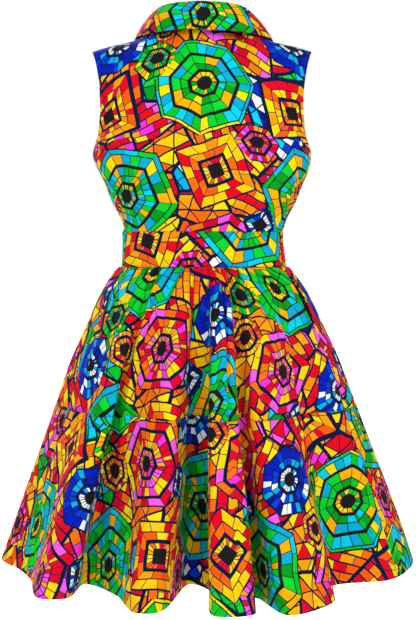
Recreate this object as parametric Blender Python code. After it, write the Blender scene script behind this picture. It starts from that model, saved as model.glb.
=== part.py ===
"""Sleeveless ankara wax print dress, in metres and +Z up.

The wearer faces +Y, so -Y is the dress's back and +X the wearer's right. The origin is
midway between the shoulders. A bearing runs round the dress in degrees: 0 is +X, 90 is
the back, 180 is -X and 270 is the front.
"""

import bmesh
import bpy
import math
import numpy as np
from mathutils import Vector

GAP = 0.0003

# The bodice hangs this far to the left of the skirt's middle.
LEAN = -0.0075

# Heights of the seams that run round the dress.
MID_ARMHOLE_Z = -0.090
UNDERARM_Z = -0.168
BAND_TOP_Z = -0.326
BAND_LOW_Z = -0.388
TIER_Z = -0.635
HEM_Z = -0.918

# Wall of each cloth piece. Band, collar and plackets are several layers sewn as one.
CLOTH = 0.0015
BAND_CLOTH = 0.0024
COLLAR_CLOTH = 0.0018
PLACKET_CLOTH = 0.0018
PLACKET_HALF = 0.015

# Side seams and centre front, as bearings.
SEAM_RIGHT = 18.0
SEAM_LEFT = 165.0
CENTRE_FRONT = 270.0

# The pocket mouth, in the right side seam.
MOUTH_TOP_Z = -0.396
MOUTH_LOW_Z = -0.500
MOUTH_OPEN = 0.005

# The bodice and band, a row for each level: half width, depth behind, depth before.
BODICE = {
    "z": (-0.388, -0.357, -0.326, -0.303, -0.274, -0.245, -0.216, -0.187, -0.159, -0.130, -0.090),
    "wide": (0.147, 0.1445, 0.1440, 0.1515, 0.1670, 0.1785, 0.1905, 0.1950, 0.1880, 0.1920, 0.1990),
    "back": (0.099, 0.0970, 0.0965, 0.1050, 0.1120, 0.1150, 0.1160, 0.1160, 0.1155, 0.1130, 0.1080),
    "front": (0.101, 0.0990, 0.0985, 0.1080, 0.1190, 0.1280, 0.1340, 0.1350, 0.1320, 0.1260, 0.1160),
}
ROUNDNESS = 2.25

# How far the bodice's side seams swing towards the back, in degrees, by height.
SIDE_SWING = {
    "z": (-0.388, -0.340, -0.326, -0.300, -0.275, -0.250, -0.220, -0.168),
    "right": (21.0, 21.0, 14.0, 16.0, 26.0, 24.0, 14.0, 2.0),
    "left": (15.0, 15.0, 13.0, 18.0, 27.0, 25.0, 15.0, 2.0),
}

# Armholes, shoulders and neck seam.
ARMHOLE_BACK = 0.055
ARMHOLE_FRONT = 0.050
SHOULDER_TIP = (0.196, 0.000, -0.010)
NECK_SIDE = (0.067, -0.004, 0.036)
NECK_BACK = (0.000, -0.065, 0.041)
NECK_FRONT = (0.000, 0.080, -0.046)

# Collar, a row for each turn from the back centre: the folded top and the free edge.
COLLAR = {
    "turn": (0, 35, 62, 90, 120, 148, 180),
    "top_x": (0.000, 0.043, 0.069, 0.080, 0.067, 0.040, 0.000),
    "top_y": (-0.073, -0.056, -0.031, 0.000, 0.037, 0.064, 0.078),
    "top_z": (0.0720, 0.0725, 0.0710, 0.0660, 0.0330, 0.0000, -0.0160),
    "edge_x": (0.000, 0.063, 0.103, 0.124, 0.118, 0.094, 0.054),
    "edge_y": (-0.087, -0.078, -0.048, -0.003, 0.058, 0.100, 0.120),
    "edge_z": (0.0220, 0.0212, 0.0182, 0.0165, 0.0030, -0.0300, -0.0670),
}
STAND_END = 192.0
FALL_END = 171.0

# The skirt's sides, a row for each level: half width, half depth, share of the hem's folds,
# and how closely the cloth keeps each fold's own bearing.
SKIRT = {
    "z": (-0.388, -0.405, -0.432, -0.461, -0.490, -0.547, -0.605, -0.663, -0.720, -0.778, -0.850, -0.918),
    "wide": (0.150, 0.164, 0.182, 0.196, 0.209, 0.236, 0.258, 0.280, 0.301, 0.322, 0.347, 0.371),
    "deep": (0.101, 0.114, 0.130, 0.143, 0.155, 0.177, 0.196, 0.216, 0.234, 0.252, 0.272, 0.290),
    "fold": (0.035, 0.08, 0.14, 0.18, 0.22, 0.28, 0.36, 0.47, 0.60, 0.74, 0.88, 1.00),
    "keep": (0.00, 0.00, 0.06, 0.18, 0.30, 0.60, 0.85, 1.00, 1.00, 1.00, 1.00, 1.00),
}

# Folds at the hem in order of bearing: the foot, the two shoulders and the other foot of
# each, as distance to the right and distance behind the origin.
FOLDS = (
    ("right side", (0.356, -0.072), (0.372, -0.010), (0.352, 0.080), (0.310, 0.146)),
    ("back d", (0.214, 0.180), (0.203, 0.280), (0.128, 0.350), (0.084, 0.258)),
    ("back c", (0.069, 0.246), (0.074, 0.346), (0.014, 0.355), (0.004, 0.206)),
    ("back b", (-0.026, 0.172), (-0.074, 0.336), (-0.108, 0.338), (-0.148, 0.236)),
    ("back a", (-0.203, 0.172), (-0.225, 0.257), (-0.268, 0.258), (-0.299, 0.140)),
    ("left side", (-0.330, 0.070), (-0.366, 0.016), (-0.371, -0.030), (-0.346, -0.086)),
    ("front e", (-0.290, -0.124), (-0.298, -0.222), (-0.240, -0.268), (-0.200, -0.192)),
    ("front f", (-0.172, -0.190), (-0.168, -0.304), (-0.106, -0.346), (-0.084, -0.252)),
    ("front g", (-0.064, -0.238), (-0.054, -0.356), (0.050, -0.360), (0.062, -0.236)),
    ("front h", (0.090, -0.228), (0.110, -0.336), (0.170, -0.302), (0.178, -0.200)),
    ("front i", (0.208, -0.178), (0.238, -0.266), (0.298, -0.222), (0.302, -0.124)),
)

# Gathers under the band: bearing, half width of the pucker, its depth and how far down it runs.
GATHERS = (
    (74.0, 2.6, 0.0070, 0.075),
    (80.5, 2.0, -0.0060, 0.085),
    (68.0, 2.2, -0.0040, 0.050),
    (61.5, 2.4, 0.0045, 0.055),
    (128.0, 2.4, 0.0050, 0.060),
    (133.5, 2.0, -0.0040, 0.055),
    (104.0, 3.0, 0.0030, 0.040),
    (40.0, 3.2, 0.0030, 0.045),
    (232.0, 2.6, 0.0055, 0.060),
    (238.5, 2.2, -0.0045, 0.060),
    (212.0, 3.0, 0.0035, 0.050),
    (304.0, 2.6, 0.0060, 0.070),
    (310.0, 2.2, -0.0045, 0.060),
    (330.0, 3.0, 0.0035, 0.045),
)

# Buttons: what each sits on, its height, and how far off the cloth its back lies.
BUTTON_RADIUS = 0.0057
BUTTON_THICK = 0.0024
BUTTONS = (
    ("bodice", -0.084, 0.0012),
    ("bodice", -0.150, 0.0006),
    ("bodice", -0.222, 0.0006),
    ("bodice", -0.294, 0.0006),
    ("band", -0.357, 0.0006),
    ("skirt", -0.430, 0.0006),
    ("skirt", -0.520, 0.0006),
    ("skirt", -0.610, 0.0006),
    ("skirt", -0.700, 0.0006),
    ("skirt", -0.790, 0.0006),
)

PRINT_RED = (0.80, 0.06, 0.05)
PRINT_ORANGE = (0.95, 0.32, 0.02)
PRINT_GREEN = (0.03, 0.45, 0.10)
PRINT_BLUE = (0.03, 0.10, 0.50)
BUTTON_DARK = (0.03, 0.03, 0.04)


def smooth_row(at, knots, values, flat_ends=False):
    """Values of a table's column between its rows, without corners."""
    knots = np.asarray(knots, float)
    values = np.asarray(values, float)
    if knots[0] > knots[-1]:
        knots = knots[::-1]
        values = values[::-1]
    slope = np.gradient(values, knots)
    if flat_ends:
        slope[0] = 0
        slope[-1] = 0
    at = np.clip(at, knots[0], knots[-1])
    i = np.clip(np.searchsorted(knots, at) - 1, 0, len(knots) - 2)
    step = knots[i + 1] - knots[i]
    t = (at - knots[i]) / step
    return (
        values[i] * (1 + 2 * t) * (1 - t) ** 2
        + values[i + 1] * t * t * (3 - 2 * t)
        + slope[i] * step * t * (1 - t) ** 2
        - slope[i + 1] * step * t * t * (1 - t)
    )


def of_table(table, column, at):
    first = next(iter(table))
    return smooth_row(at, table[first], table[column])


def side_power(value):
    return np.sign(value) * np.abs(value) ** (2.0 / ROUNDNESS)


def torso(bearing, z):
    """The bodice and band as round sections, half width by depth at each height."""
    bearing, z = np.broadcast_arrays(np.asarray(bearing, float), np.asarray(z, float))
    turn = np.radians(bearing)
    wide = of_table(BODICE, "wide", z)
    deep = np.where(np.sin(turn) > 0, of_table(BODICE, "back", z), of_table(BODICE, "front", z))
    return np.stack([wide * side_power(np.cos(turn)), -deep * side_power(np.sin(turn)), z], -1)


def armhole(z, back):
    """How far round from the side the armhole's edge is, in degrees, at a height."""
    rise = np.clip((z - MID_ARMHOLE_Z) / (UNDERARM_Z - MID_ARMHOLE_Z), 0, 1)
    cut = np.sqrt(1 - rise**2) * (ARMHOLE_BACK if back else ARMHOLE_FRONT)
    deep = of_table(BODICE, "back" if back else "front", z)
    return np.degrees(np.arcsin((cut / deep) ** (ROUNDNESS / 2)))


def neckline(share, back):
    """The bodice's top edge from the right shoulder tip over the neck to the left tip."""
    apart = np.array((0, -GAP if back else GAP, 0))
    tip = np.array(SHOULDER_TIP) + apart
    side = np.array(NECK_SIDE) + apart
    middle = np.array(NECK_BACK if back else NECK_FRONT)
    share = np.asarray(share, float)[..., None]
    mirrored = np.where(share > 0.5, 1 - share, share)
    along = np.clip(mirrored / 0.30, 0, 1)
    shoulder = tip + (side - tip) * along
    shoulder = shoulder - np.array((0, 0, 0.0035)) * np.sin(np.pi * along)
    turn = np.clip((mirrored - 0.30) / 0.20, 0, 1) * np.pi / 2
    round_neck = side * (1, 0, 0) * np.cos(turn)
    round_neck = round_neck + (side + (middle - side) * np.sin(turn)) * (0, 1, 0)
    drop = np.sin(turn) ** (1.0 if back else 1.25)
    round_neck = round_neck + (side + (middle - side) * drop) * (0, 0, 1)
    edge = np.where(mirrored <= 0.30, shoulder, round_neck)
    return edge * np.where(share > 0.5, (-1, 1, 1), (1, 1, 1))


def yoke(share, up, back):
    """The bodice above the middle of the armholes: columns that curve over to its top edge."""
    share, up = np.broadcast_arrays(np.asarray(share, float), np.asarray(up, float))
    edge = armhole(np.array(MID_ARMHOLE_Z), back)
    bearing = edge + (180.0 - 2 * edge) * share
    start = torso(bearing if back else 360.0 - bearing, np.full(share.shape, MID_ARMHOLE_Z))
    end = neckline(share, back)
    mirrored = np.where(share > 0.5, 1 - share, share)
    neck = np.clip((mirrored - (0.26 if back else 0.24)) / 0.16, 0, 1)[..., None]
    neck = neck * neck * (3 - 2 * neck)
    gone = end - start
    over = gone * (0, 2.0 if back else 1.65, 0)
    spoke = (end - np.array(NECK_SIDE)) * (0, 1, 0) + end * (1, 0, 0)
    spoke = spoke / np.maximum(np.linalg.norm(spoke, axis=-1, keepdims=True), 1e-9)
    level = np.linalg.norm(gone * (1, 1, 0), axis=-1, keepdims=True)
    inward = -0.9 * spoke * level + gone * (0, 0, 1) + np.array((0, 0, 0.004))
    leave = over * (1 - neck) + inward * neck
    high = 2.0 if back else 1.6
    climb = gone * (0, 0, high) * (1 - neck) + gone * (0, 0, 1.15) * neck
    t = up[..., None]
    across = t * t * (3 - 2 * t)
    path = start + gone * across
    return path + climb * t * (1 - t) ** 2 - leave * t * t * (1 - t)


def closed_curve(points):
    """A round closed curve through the points: a function of the point number."""
    points = np.asarray(points, float)
    count = len(points)

    def at(t):
        t = np.asarray(t, float) % count
        i = np.floor(t).astype(int) % count
        part = (t - np.floor(t))[..., None]
        a = points[(i - 1) % count]
        b = points[i]
        c = points[(i + 1) % count]
        d = points[(i + 2) % count]
        ab = np.linalg.norm(b - a, axis=-1, keepdims=True) ** 0.5
        bc = np.linalg.norm(c - b, axis=-1, keepdims=True) ** 0.5
        cd = np.linalg.norm(d - c, axis=-1, keepdims=True) ** 0.5
        m1 = c - b + bc * ((b - a) / ab - (c - a) / (ab + bc))
        m2 = c - b + bc * ((d - c) / cd - (d - b) / (bc + cd))
        h = part * part * (3 - 2 * part)
        bend = m1 * part * (1 - part) ** 2 - m2 * part * part * (1 - part)
        return b + (c - b) * h + bend

    return at


HEM_CURVE = closed_curve([point for row in FOLDS for point in row[1:]])
HEM_COUNT = 4 * len(FOLDS)


def hem_tables():
    """Bearing and reach of the hem at fine steps, and the bearings with no turning back."""
    steps = np.linspace(0, HEM_COUNT, HEM_COUNT * 24 + 1)
    spot = HEM_CURVE(steps)
    turn = np.degrees(np.unwrap(np.arctan2(spot[:, 1], spot[:, 0])))
    reach = np.hypot(spot[:, 0], spot[:, 1])
    low = np.maximum.accumulate(turn)
    high = np.minimum.accumulate(turn[::-1])[::-1]
    even = (low + high) / 2
    length = np.concatenate([[0], np.cumsum(np.linalg.norm(np.diff(spot, axis=0), axis=1))])
    plain = turn[0] + 360 * length / length[-1]
    return steps, turn, reach, 0.80 * even + 0.20 * plain


HEM_STEPS, HEM_TURN, HEM_REACH, HEM_EVEN = hem_tables()


def step_at(bearing):
    """The hem curve's point number at a bearing."""
    laps = np.floor((bearing - HEM_EVEN[0]) / 360)
    return np.interp(bearing - 360 * laps, HEM_EVEN, HEM_STEPS) + HEM_COUNT * laps


def oval(turn, wide, deep):
    return 1.0 / np.sqrt((np.cos(turn) / wide) ** 2 + (np.sin(turn) / deep) ** 2)


def skirt(step, z):
    """The skirt at a hem curve number and a height: every fold fades upwards to the band."""
    step, z = np.broadcast_arrays(np.asarray(step, float), np.asarray(z, float))
    wrapped = step % HEM_COUNT
    laps = np.floor(step / HEM_COUNT) * 360
    own = np.interp(wrapped, HEM_STEPS, HEM_TURN) + laps
    even = np.interp(wrapped, HEM_STEPS, HEM_EVEN) + laps
    reach = np.interp(wrapped, HEM_STEPS, HEM_REACH)
    keep = of_table(SKIRT, "keep", z)
    bearing = even + (own - even) * keep
    turn = np.radians(bearing)
    base = oval(turn, of_table(SKIRT, "wide", z), of_table(SKIRT, "deep", z))
    hem = oval(np.radians(own), SKIRT["wide"][-1], SKIRT["deep"][-1])
    away = base + of_table(SKIRT, "fold", z) * (reach - hem)
    down = BAND_LOW_Z - z
    for at, half, depth, drop in GATHERS:
        off = (bearing - at + 180) % 360 - 180
        away = away + depth * np.exp(-((off / half) ** 2)) * np.exp(-((down / drop) ** 2))
    return np.stack([away * np.cos(turn), -away * np.sin(turn), z], -1)


def normals(surface, u, v, du, dv):
    """Unit normals of a surface function at a grid of its two parameters."""
    along = surface(u + du, v) - surface(u - du, v)
    down = surface(u, v + dv) - surface(u, v - dv)
    out = np.cross(along, down)
    size = np.linalg.norm(out, axis=-1, keepdims=True)
    return out / np.maximum(size, 1e-12)


def level_cut(normal):
    """Normals turned level, longer where they slope, so that a seam is cut straight across."""
    flat = normal * (1, 1, 0)
    flat = flat / np.linalg.norm(flat, axis=-1, keepdims=True)
    lean = np.sum(flat * normal, axis=-1, keepdims=True)
    return flat / np.maximum(lean, 0.8)


def material(name, colour, rough=0.75):
    made = bpy.data.materials.new(name)
    made.use_nodes = True
    shader = made.node_tree.nodes["Principled BSDF"]
    shader.inputs["Base Color"].default_value = (*colour, 1.0)
    shader.inputs["Roughness"].default_value = rough
    shader.inputs["Metallic"].default_value = 0.0
    return made


def volume(points, faces):
    total = 0.0
    for face in faces:
        for k in range(1, len(face) - 1):
            a, b, c = points[face[0]], points[face[k]], points[face[k + 1]]
            total += float(np.dot(a, np.cross(b, c)))
    return total / 6


def closed_body(name, points, faces, look):
    if volume(points, faces) < 0:
        faces = [tuple(reversed(face)) for face in faces]
    mesh = bpy.data.meshes.new(name)
    mesh.from_pydata([tuple(p) for p in points], [], faces)
    mesh.shade_smooth()
    mesh.set_sharp_from_angle(angle=math.radians(50))
    mesh.materials.append(look)
    body = bpy.data.objects.new(name, mesh)
    bpy.context.scene.collection.objects.link(body)
    return body


def leaning(z):
    """Sideways shift of the whole dress at a height."""
    share = np.clip((np.asarray(z) + 0.48) / 0.20, 0, 1)
    return LEAN * share * share * (3 - 2 * share)


def cloth(name, middle, normal, wall, look):
    """A closed wall of cloth on both sides of a grid of points."""
    rows, columns = middle.shape[:2]
    half = normal * wall / 2
    points = np.concatenate([(middle + half).reshape(-1, 3), (middle - half).reshape(-1, 3)])
    points[:, 0] += leaning(points[:, 2])
    count = rows * columns
    faces = []
    for i in range(rows - 1):
        for j in range(columns - 1):
            a = i * columns + j
            quad = (a, a + 1, a + columns + 1, a + columns)
            faces.append(quad)
            faces.append(tuple(k + count for k in reversed(quad)))
    top = [j for j in range(columns)]
    right = [i * columns + columns - 1 for i in range(rows)]
    low = [(rows - 1) * columns + j for j in reversed(range(columns))]
    left = [i * columns for i in reversed(range(rows))]
    border = top + right[1:] + low[1:] + left[1:-1]
    for a, b in zip(border, border[1:] + border[:1]):
        faces.append((b, a, a + count, b + count))
    return closed_body(name, points, faces, look)


def seam_bearing(z, side):
    return of_table(SIDE_SWING, side, np.maximum(z, -0.388))


def torso_rows(low, high, count, ease):
    """Heights between two levels, closer together near the underarm."""
    share = np.linspace(0, 1, count)
    return low + (high - low) * share**ease


def bodice_grid(back, start, end, columns):
    """Points of a bodice panel. Start and end are shares across it: 0 is the right side."""
    shares = np.linspace(start, end, columns)
    below = torso_rows(BAND_TOP_Z + GAP, UNDERARM_Z, 7, 1.0)
    above = torso_rows(UNDERARM_Z, MID_ARMHOLE_Z, 5, 1.6)[1:]
    upper = np.linspace(0, 1, 8)[1:]

    def bearings(share, z):
        clear = 0.06
        fade = np.clip((UNDERARM_Z - z) / 0.012, 0, 1)
        hole = np.maximum(armhole(z, back), 0.25)
        if back:
            right = hole * (1 - fade) + (seam_bearing(z, "right") + clear) * fade
            left = 180 - hole * (1 - fade) - (seam_bearing(z, "left") + clear) * fade
        else:
            right = 360 - hole * (1 - fade) + (seam_bearing(z, "right") - clear) * fade
            left = 180 + hole * (1 - fade) - (seam_bearing(z, "left") - clear) * fade
        return right + (left - right) * share

    def curved(share, up):
        return yoke(share, up, back)

    grid_share, grid_z = np.meshgrid(shares, np.concatenate([below, above]))
    turns = bearings(grid_share, grid_z)
    points = [torso(turns, grid_z)]
    normal = [normals(torso, turns, grid_z, 0.3, 5e-4)]
    grid_share, grid_up = np.meshgrid(shares, upper)
    points.append(curved(grid_share, grid_up))
    normal.append(normals(curved, grid_share, np.minimum(grid_up, 0.999), 1e-3, 1e-3))
    middle = np.concatenate(points)
    normal = np.concatenate(normal)
    outward = middle - np.array((0, 0, -0.16))
    flip = np.sign(np.sum(normal * outward, axis=-1, keepdims=True))
    normal = normal * np.where(flip == 0, 1, flip)
    normal[0] = level_cut(normal[0])
    return middle, normal


def skirt_steps(start, end, per_bend):
    """Hem curve numbers of a panel's columns, a few for each bend of the folds."""
    first = step_at(start)
    last = step_at(end)
    inner = np.arange(math.ceil(first * per_bend + 0.4), math.floor(last * per_bend - 0.4) + 1)
    return np.concatenate([[first], inner / per_bend, [last]])


def pocket_gape(middle, normal, along, edge, side):
    """Spreads the two edges of the pocket mouth: the front's stands out, the back's sinks in."""
    z = middle[..., 2]
    share = np.clip((z - MOUTH_LOW_Z) / (MOUTH_TOP_Z - MOUTH_LOW_Z), 0, 1)
    away = np.linalg.norm(middle - middle[:, edge][:, None], axis=-1)
    weight = (np.sin(np.pi * share) ** 1.2 * np.exp(-((away / 0.022) ** 2)))[..., None]
    return middle + weight * (normal * 0.55 * side - along * 0.5 * side) * MOUTH_OPEN


def skirt_piece(name, start, end, heights, per_bend, wall, look, mouth=0):
    """A panel of the skirt between two bearings. Mouth is 1 or -1 beside the pocket."""
    steps = skirt_steps(start, end, per_bend)
    grid_step, grid_z = np.meshgrid(steps, heights)
    middle = skirt(grid_step, grid_z)
    normal = normals(skirt, grid_step, grid_z, 0.03, 0.002)
    if np.mean(np.sum(normal * middle * (1, 1, 0), axis=-1)) < 0:
        normal = -normal
    along = skirt(grid_step + 0.01, grid_z) - skirt(grid_step - 0.01, grid_z)
    along = along / np.linalg.norm(along, axis=-1, keepdims=True)
    if mouth:
        edge = -1 if mouth > 0 else 0
        middle = pocket_gape(middle, normal, along, edge, mouth)
    middle[:, 0] += along[:, 0] * GAP / 2
    middle[:, -1] -= along[:, -1] * GAP / 2
    for row in (0, -1):
        normal[row] = level_cut(normal[row])
    return cloth(name, middle, normal, wall, look)


def band_piece(name, start, end, columns, look):
    """A length of the waistband between two bearings."""
    heights = np.linspace(BAND_TOP_Z - GAP, BAND_LOW_Z + GAP, 3)
    grid_turn, grid_z = np.meshgrid(np.linspace(start, end, columns), heights)
    middle = torso(grid_turn, grid_z)
    normal = normals(torso, grid_turn, grid_z, 0.05, 0.0005)
    if np.mean(np.sum(normal * middle * (1, 1, 0), axis=-1)) < 0:
        normal = -normal
    for row in (0, -1):
        normal[row] = level_cut(normal[row])
    return cloth(name, middle, normal, BAND_CLOTH, look)


def strip_on(middle, normal, half):
    """A strip of even width, centred on x = 0, lying on the rows of a grid."""
    across = np.linspace(-half, half, 4)
    strip = np.zeros((len(middle), 4, 3))
    out = np.zeros((len(middle), 4, 3))
    for i in range(len(middle)):
        order = np.argsort(middle[i, :, 0])
        x = middle[i, order, 0]
        for k in range(3):
            strip[i, :, k] = np.interp(across, x, middle[i, order, k])
            out[i, :, k] = np.interp(across, x, normal[i, order, k])
    return strip, out / np.linalg.norm(out, axis=-1, keepdims=True)


def collar_ring(turn, kind):
    """A ring of the collar: its neck seam, folded top or free edge, at a turn from the back."""
    turn = np.asarray(turn, float)
    past = np.where(turn > 180, 360 - turn, turn)
    side = np.where(turn > 180, -1, 1) * np.sign(past)
    if kind == "seam":
        past = np.abs(past)
        behind = neckline(0.5 - 0.2 * np.clip(past / 88, 0, 1), True)
        before = neckline(0.3 + 0.2 * np.clip((past - 88) / 92, 0, 1), False)
        ring = np.where((past < 88)[..., None], behind, before)
        return ring * np.stack([side, np.ones_like(side), np.ones_like(side)], -1)
    spot = []
    for axis in ("_x", "_y", "_z"):
        column = COLLAR[kind + axis]
        spot.append(smooth_row(np.abs(past), COLLAR["turn"], column, axis != "_x"))
    spot[0] = spot[0] * side
    if kind == "edge":
        spot[0] = spot[0] * (1 + 0.03 * side)
        spot[2] = spot[2] - 0.0012 * side
    return np.stack(spot, -1)


def stand(turn, up):
    """The collar stand, from the neck seam to the fold."""
    low = collar_ring(turn, "seam")
    top = collar_ring(turn, "top")
    rise = top - low
    rise = rise / np.linalg.norm(rise, axis=-1, keepdims=True)
    past = np.abs(np.where(turn > 180, 360 - turn, turn))
    lift = 0.0020 + 0.0014 * np.clip((past - 70) / 30, 0, 1)
    low = low + rise * lift[..., None]
    top = top - rise * 0.0012
    return low + (top - low) * np.asarray(up)[..., None]


def fall(turn, down):
    """The collar fall, from the fold out over the shoulders to its free edge."""
    top = collar_ring(turn, "top")
    edge = collar_ring(turn, "edge")
    ring = collar_ring(turn + 0.5, "top") - collar_ring(turn - 0.5, "top")
    out = np.stack([-ring[..., 1], ring[..., 0], 0 * ring[..., 0]], -1)
    out = out / np.linalg.norm(out, axis=-1, keepdims=True)
    out = out * np.sign(np.sum(out * (top - (0, 0.005, 0)) * (1, 1, 0), axis=-1, keepdims=True))
    top = top + out * (COLLAR_CLOTH + 2 * GAP)
    level = (edge - top) * (1, 1, 0)
    level = level / np.linalg.norm(level, axis=-1, keepdims=True)
    bow = (top + edge) / 2 + level * 0.004 + np.array((0, 0, 0.008))
    t = np.asarray(down)[..., None]
    return top * (1 - t) ** 2 + bow * 2 * t * (1 - t) + edge * t * t


def collar_piece(name, surface, turns, shares, look):
    grid_turn, grid_share = np.meshgrid(turns, shares)
    middle = surface(grid_turn, grid_share)
    normal = normals(surface, grid_turn, grid_share, 0.5, 0.02)
    outward = middle - np.array((0, 0, -0.15))
    if np.mean(np.sum(normal * outward, axis=-1)) < 0:
        normal = -normal
    return cloth(name, middle, normal, COLLAR_CLOTH, look)


def pocket_layer(name, first, last, near, deep, blend, look):
    """One layer of the pocket bag: it leaves the mouth and hangs inside the front skirt."""
    rows = np.linspace(0, 1, 9)
    columns = np.linspace(0, 1, 9)
    share, down = np.meshgrid(columns, rows)
    top = MOUTH_TOP_Z + 0.002
    z = top - down * 0.215
    curve = 1 - 0.35 * down**4
    bearing = first + (last - first) * share * curve
    steps = step_at(bearing + 360)
    middle = skirt(steps, z)
    normal = normals(skirt, steps, z, 0.03, 0.002)
    if np.mean(np.sum(normal * middle * (1, 1, 0), axis=-1)) < 0:
        normal = -normal
    part = np.clip((first - bearing) / blend, 0, 1)
    low = np.clip((MOUTH_LOW_Z + 0.01 - z) / 0.03, 0, 1)
    inside = near + 0.0035 * low * (1 - part) + deep * part * part * (3 - 2 * part)
    level = middle * (1, 1, 0)
    level = level / np.linalg.norm(level, axis=-1, keepdims=True)
    middle = middle - level * inside[..., None]
    return cloth(name, middle, level * 1.0, 0.0012, look)


def button(name, centre, normal, look):
    """A round button with a raised rim, its back a hair off the cloth."""
    shape = bmesh.new()
    bmesh.ops.create_cone(shape, cap_ends=True, segments=14, radius1=BUTTON_RADIUS,
                                 radius2=BUTTON_RADIUS, depth=BUTTON_THICK)
    edges = [edge for edge in shape.edges if len({round(v.co.z, 6) for v in edge.verts}) == 1]
    bmesh.ops.bevel(shape, geom=edges, offset=0.0006, segments=1, affect="EDGES")
    mesh = bpy.data.meshes.new(name)
    shape.to_mesh(mesh)
    shape.free()
    mesh.shade_smooth()
    mesh.set_sharp_from_angle(angle=math.radians(40))
    mesh.materials.append(look)
    body = bpy.data.objects.new(name, mesh)
    body.location = centre
    body.rotation_mode = "QUATERNION"
    body.rotation_quaternion = Vector(normal).to_track_quat("Z", "Y")
    bpy.context.scene.collection.objects.link(body)
    return body


for old in list(bpy.data.objects):
    bpy.data.objects.remove(old)

bodice_look = material("ankara_bodice", PRINT_ORANGE)
skirt_look = material("ankara_skirt", PRINT_RED)
tier_look = material("ankara_tier", PRINT_GREEN)
band_look = material("ankara_band", PRINT_BLUE)
collar_look = material("ankara_collar", PRINT_RED)
button_look = material("button_dark", BUTTON_DARK, 0.35)
pocket_look = material("pocket_cloth", PRINT_BLUE)

# Bodice: a one-piece back and two fronts that meet under the placket.
back_middle, back_normal = bodice_grid(True, 0.0, 1.0, 21)
cloth("bodice_back", back_middle, back_normal, CLOTH, bodice_look)
right_middle, right_normal = bodice_grid(False, 0.0, 0.5 - 0.0006, 11)
cloth("bodice_front_right", right_middle, right_normal, CLOTH, bodice_look)
left_middle, left_normal = bodice_grid(False, 0.5 + 0.0006, 1.0, 11)
cloth("bodice_front_left", left_middle, left_normal, CLOTH, bodice_look)

# Bodice placket, over the meeting edges of the fronts.
front_middle, front_normal = bodice_grid(False, 0.42, 0.58, 25)
strip, strip_out = strip_on(front_middle, front_normal, PLACKET_HALF)
lift = CLOTH / 2 + 2.5 * GAP + PLACKET_CLOTH / 2
strip[0, :, 2] += 0.0002
cloth("bodice_placket", strip + strip_out * lift, strip_out, PLACKET_CLOTH, bodice_look)
bodice_line = (strip + strip_out * lift)[:, 1:3].mean(axis=1)

# Waistband, joined near each side and lapped at the front.
turn_right = SIDE_SWING["right"][0]
turn_left = 180.0 - SIDE_SWING["left"][0]
band_gap = 0.07
lap = CENTRE_FRONT - 6.5
band_piece("waistband_back", turn_right + band_gap, turn_left - band_gap, 19, band_look)
band_piece("waistband_front_left", turn_left + band_gap, lap - band_gap, 13, band_look)
band_piece("waistband_front_right", lap + band_gap, turn_right + 360 - band_gap, 16, band_look)

# Upper skirt, gathered under the band, and the lower tier.
upper = BAND_LOW_Z - GAP - (BAND_LOW_Z - TIER_Z - 2 * GAP) * np.linspace(0, 1, 7) ** 1.3
lower = np.linspace(TIER_Z - GAP, HEM_Z, 4)
skirt_piece("skirt_back", SEAM_RIGHT, SEAM_LEFT, upper, 3, CLOTH, skirt_look, -1)
skirt_piece("skirt_front_left", SEAM_LEFT, CENTRE_FRONT, upper, 3, CLOTH, skirt_look)
skirt_piece("skirt_front_right", CENTRE_FRONT, SEAM_RIGHT + 360, upper, 3, CLOTH, skirt_look, 1)
skirt_piece("tier_back", SEAM_RIGHT, SEAM_LEFT, lower, 3, CLOTH, tier_look)
skirt_piece("tier_front_left", SEAM_LEFT, CENTRE_FRONT, lower, 3, CLOTH, tier_look)
skirt_piece("tier_front_right", CENTRE_FRONT, SEAM_RIGHT + 360, lower, 3, CLOTH, tier_look)

# Skirt placket, down the middle of the front fold over both tiers.
steps = np.linspace(32.5, 34.5, 33)
heights = np.concatenate([upper[:-1], [TIER_Z], lower[1:]])
grid_step, grid_z = np.meshgrid(steps, heights)
front_middle = skirt(grid_step, grid_z)
front_normal = normals(skirt, grid_step, grid_z, 0.03, 0.002)
if np.mean(np.sum(front_normal * front_middle * (1, 1, 0), axis=-1)) < 0:
    front_normal = -front_normal
strip, strip_out = strip_on(front_middle, front_normal, PLACKET_HALF)
for row in range(len(strip)):
    strip_out[row] = level_cut(strip_out[row])
strip = strip + strip_out * lift
cloth("skirt_placket", strip, strip_out, PLACKET_CLOTH, tier_look)
skirt_line = strip[:, 1:3].mean(axis=1)

# Collar: the stand closes under a button, the fall lies over it and the shoulders.
turns = np.linspace(STAND_END - 360 + 0.15, STAND_END - 0.15, 37)
collar_piece("collar_stand", stand, turns, np.linspace(0, 1, 3), collar_look)
turns = np.linspace(-FALL_END, FALL_END, 37)
collar_piece("collar_fall", fall, turns, np.linspace(0, 1, 5), collar_look)

# Pocket bag behind the open mouth: one layer from each edge.
pocket_layer("pocket_bag_front", 16.6, -20.0, 0.0022, 0.0060, 9.0, pocket_look)
pocket_layer("pocket_bag_back", 18.6, -20.0, 0.0058, 0.0062, 4.5, pocket_look)


def on_line(line, z):
    """Point and outward direction of a strip's middle line at a height."""
    order = np.argsort(line[:, 2])

    def spot(height):
        return np.array([np.interp(height, line[order, 2], line[order, k]) for k in range(3)])

    way = np.cross((1, 0, 0), spot(z - BUTTON_RADIUS) - spot(z + BUTTON_RADIUS))
    return (spot(z - BUTTON_RADIUS) + spot(z + BUTTON_RADIUS)) / 2, -way / np.linalg.norm(way) * np.sign(-way[1])


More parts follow.
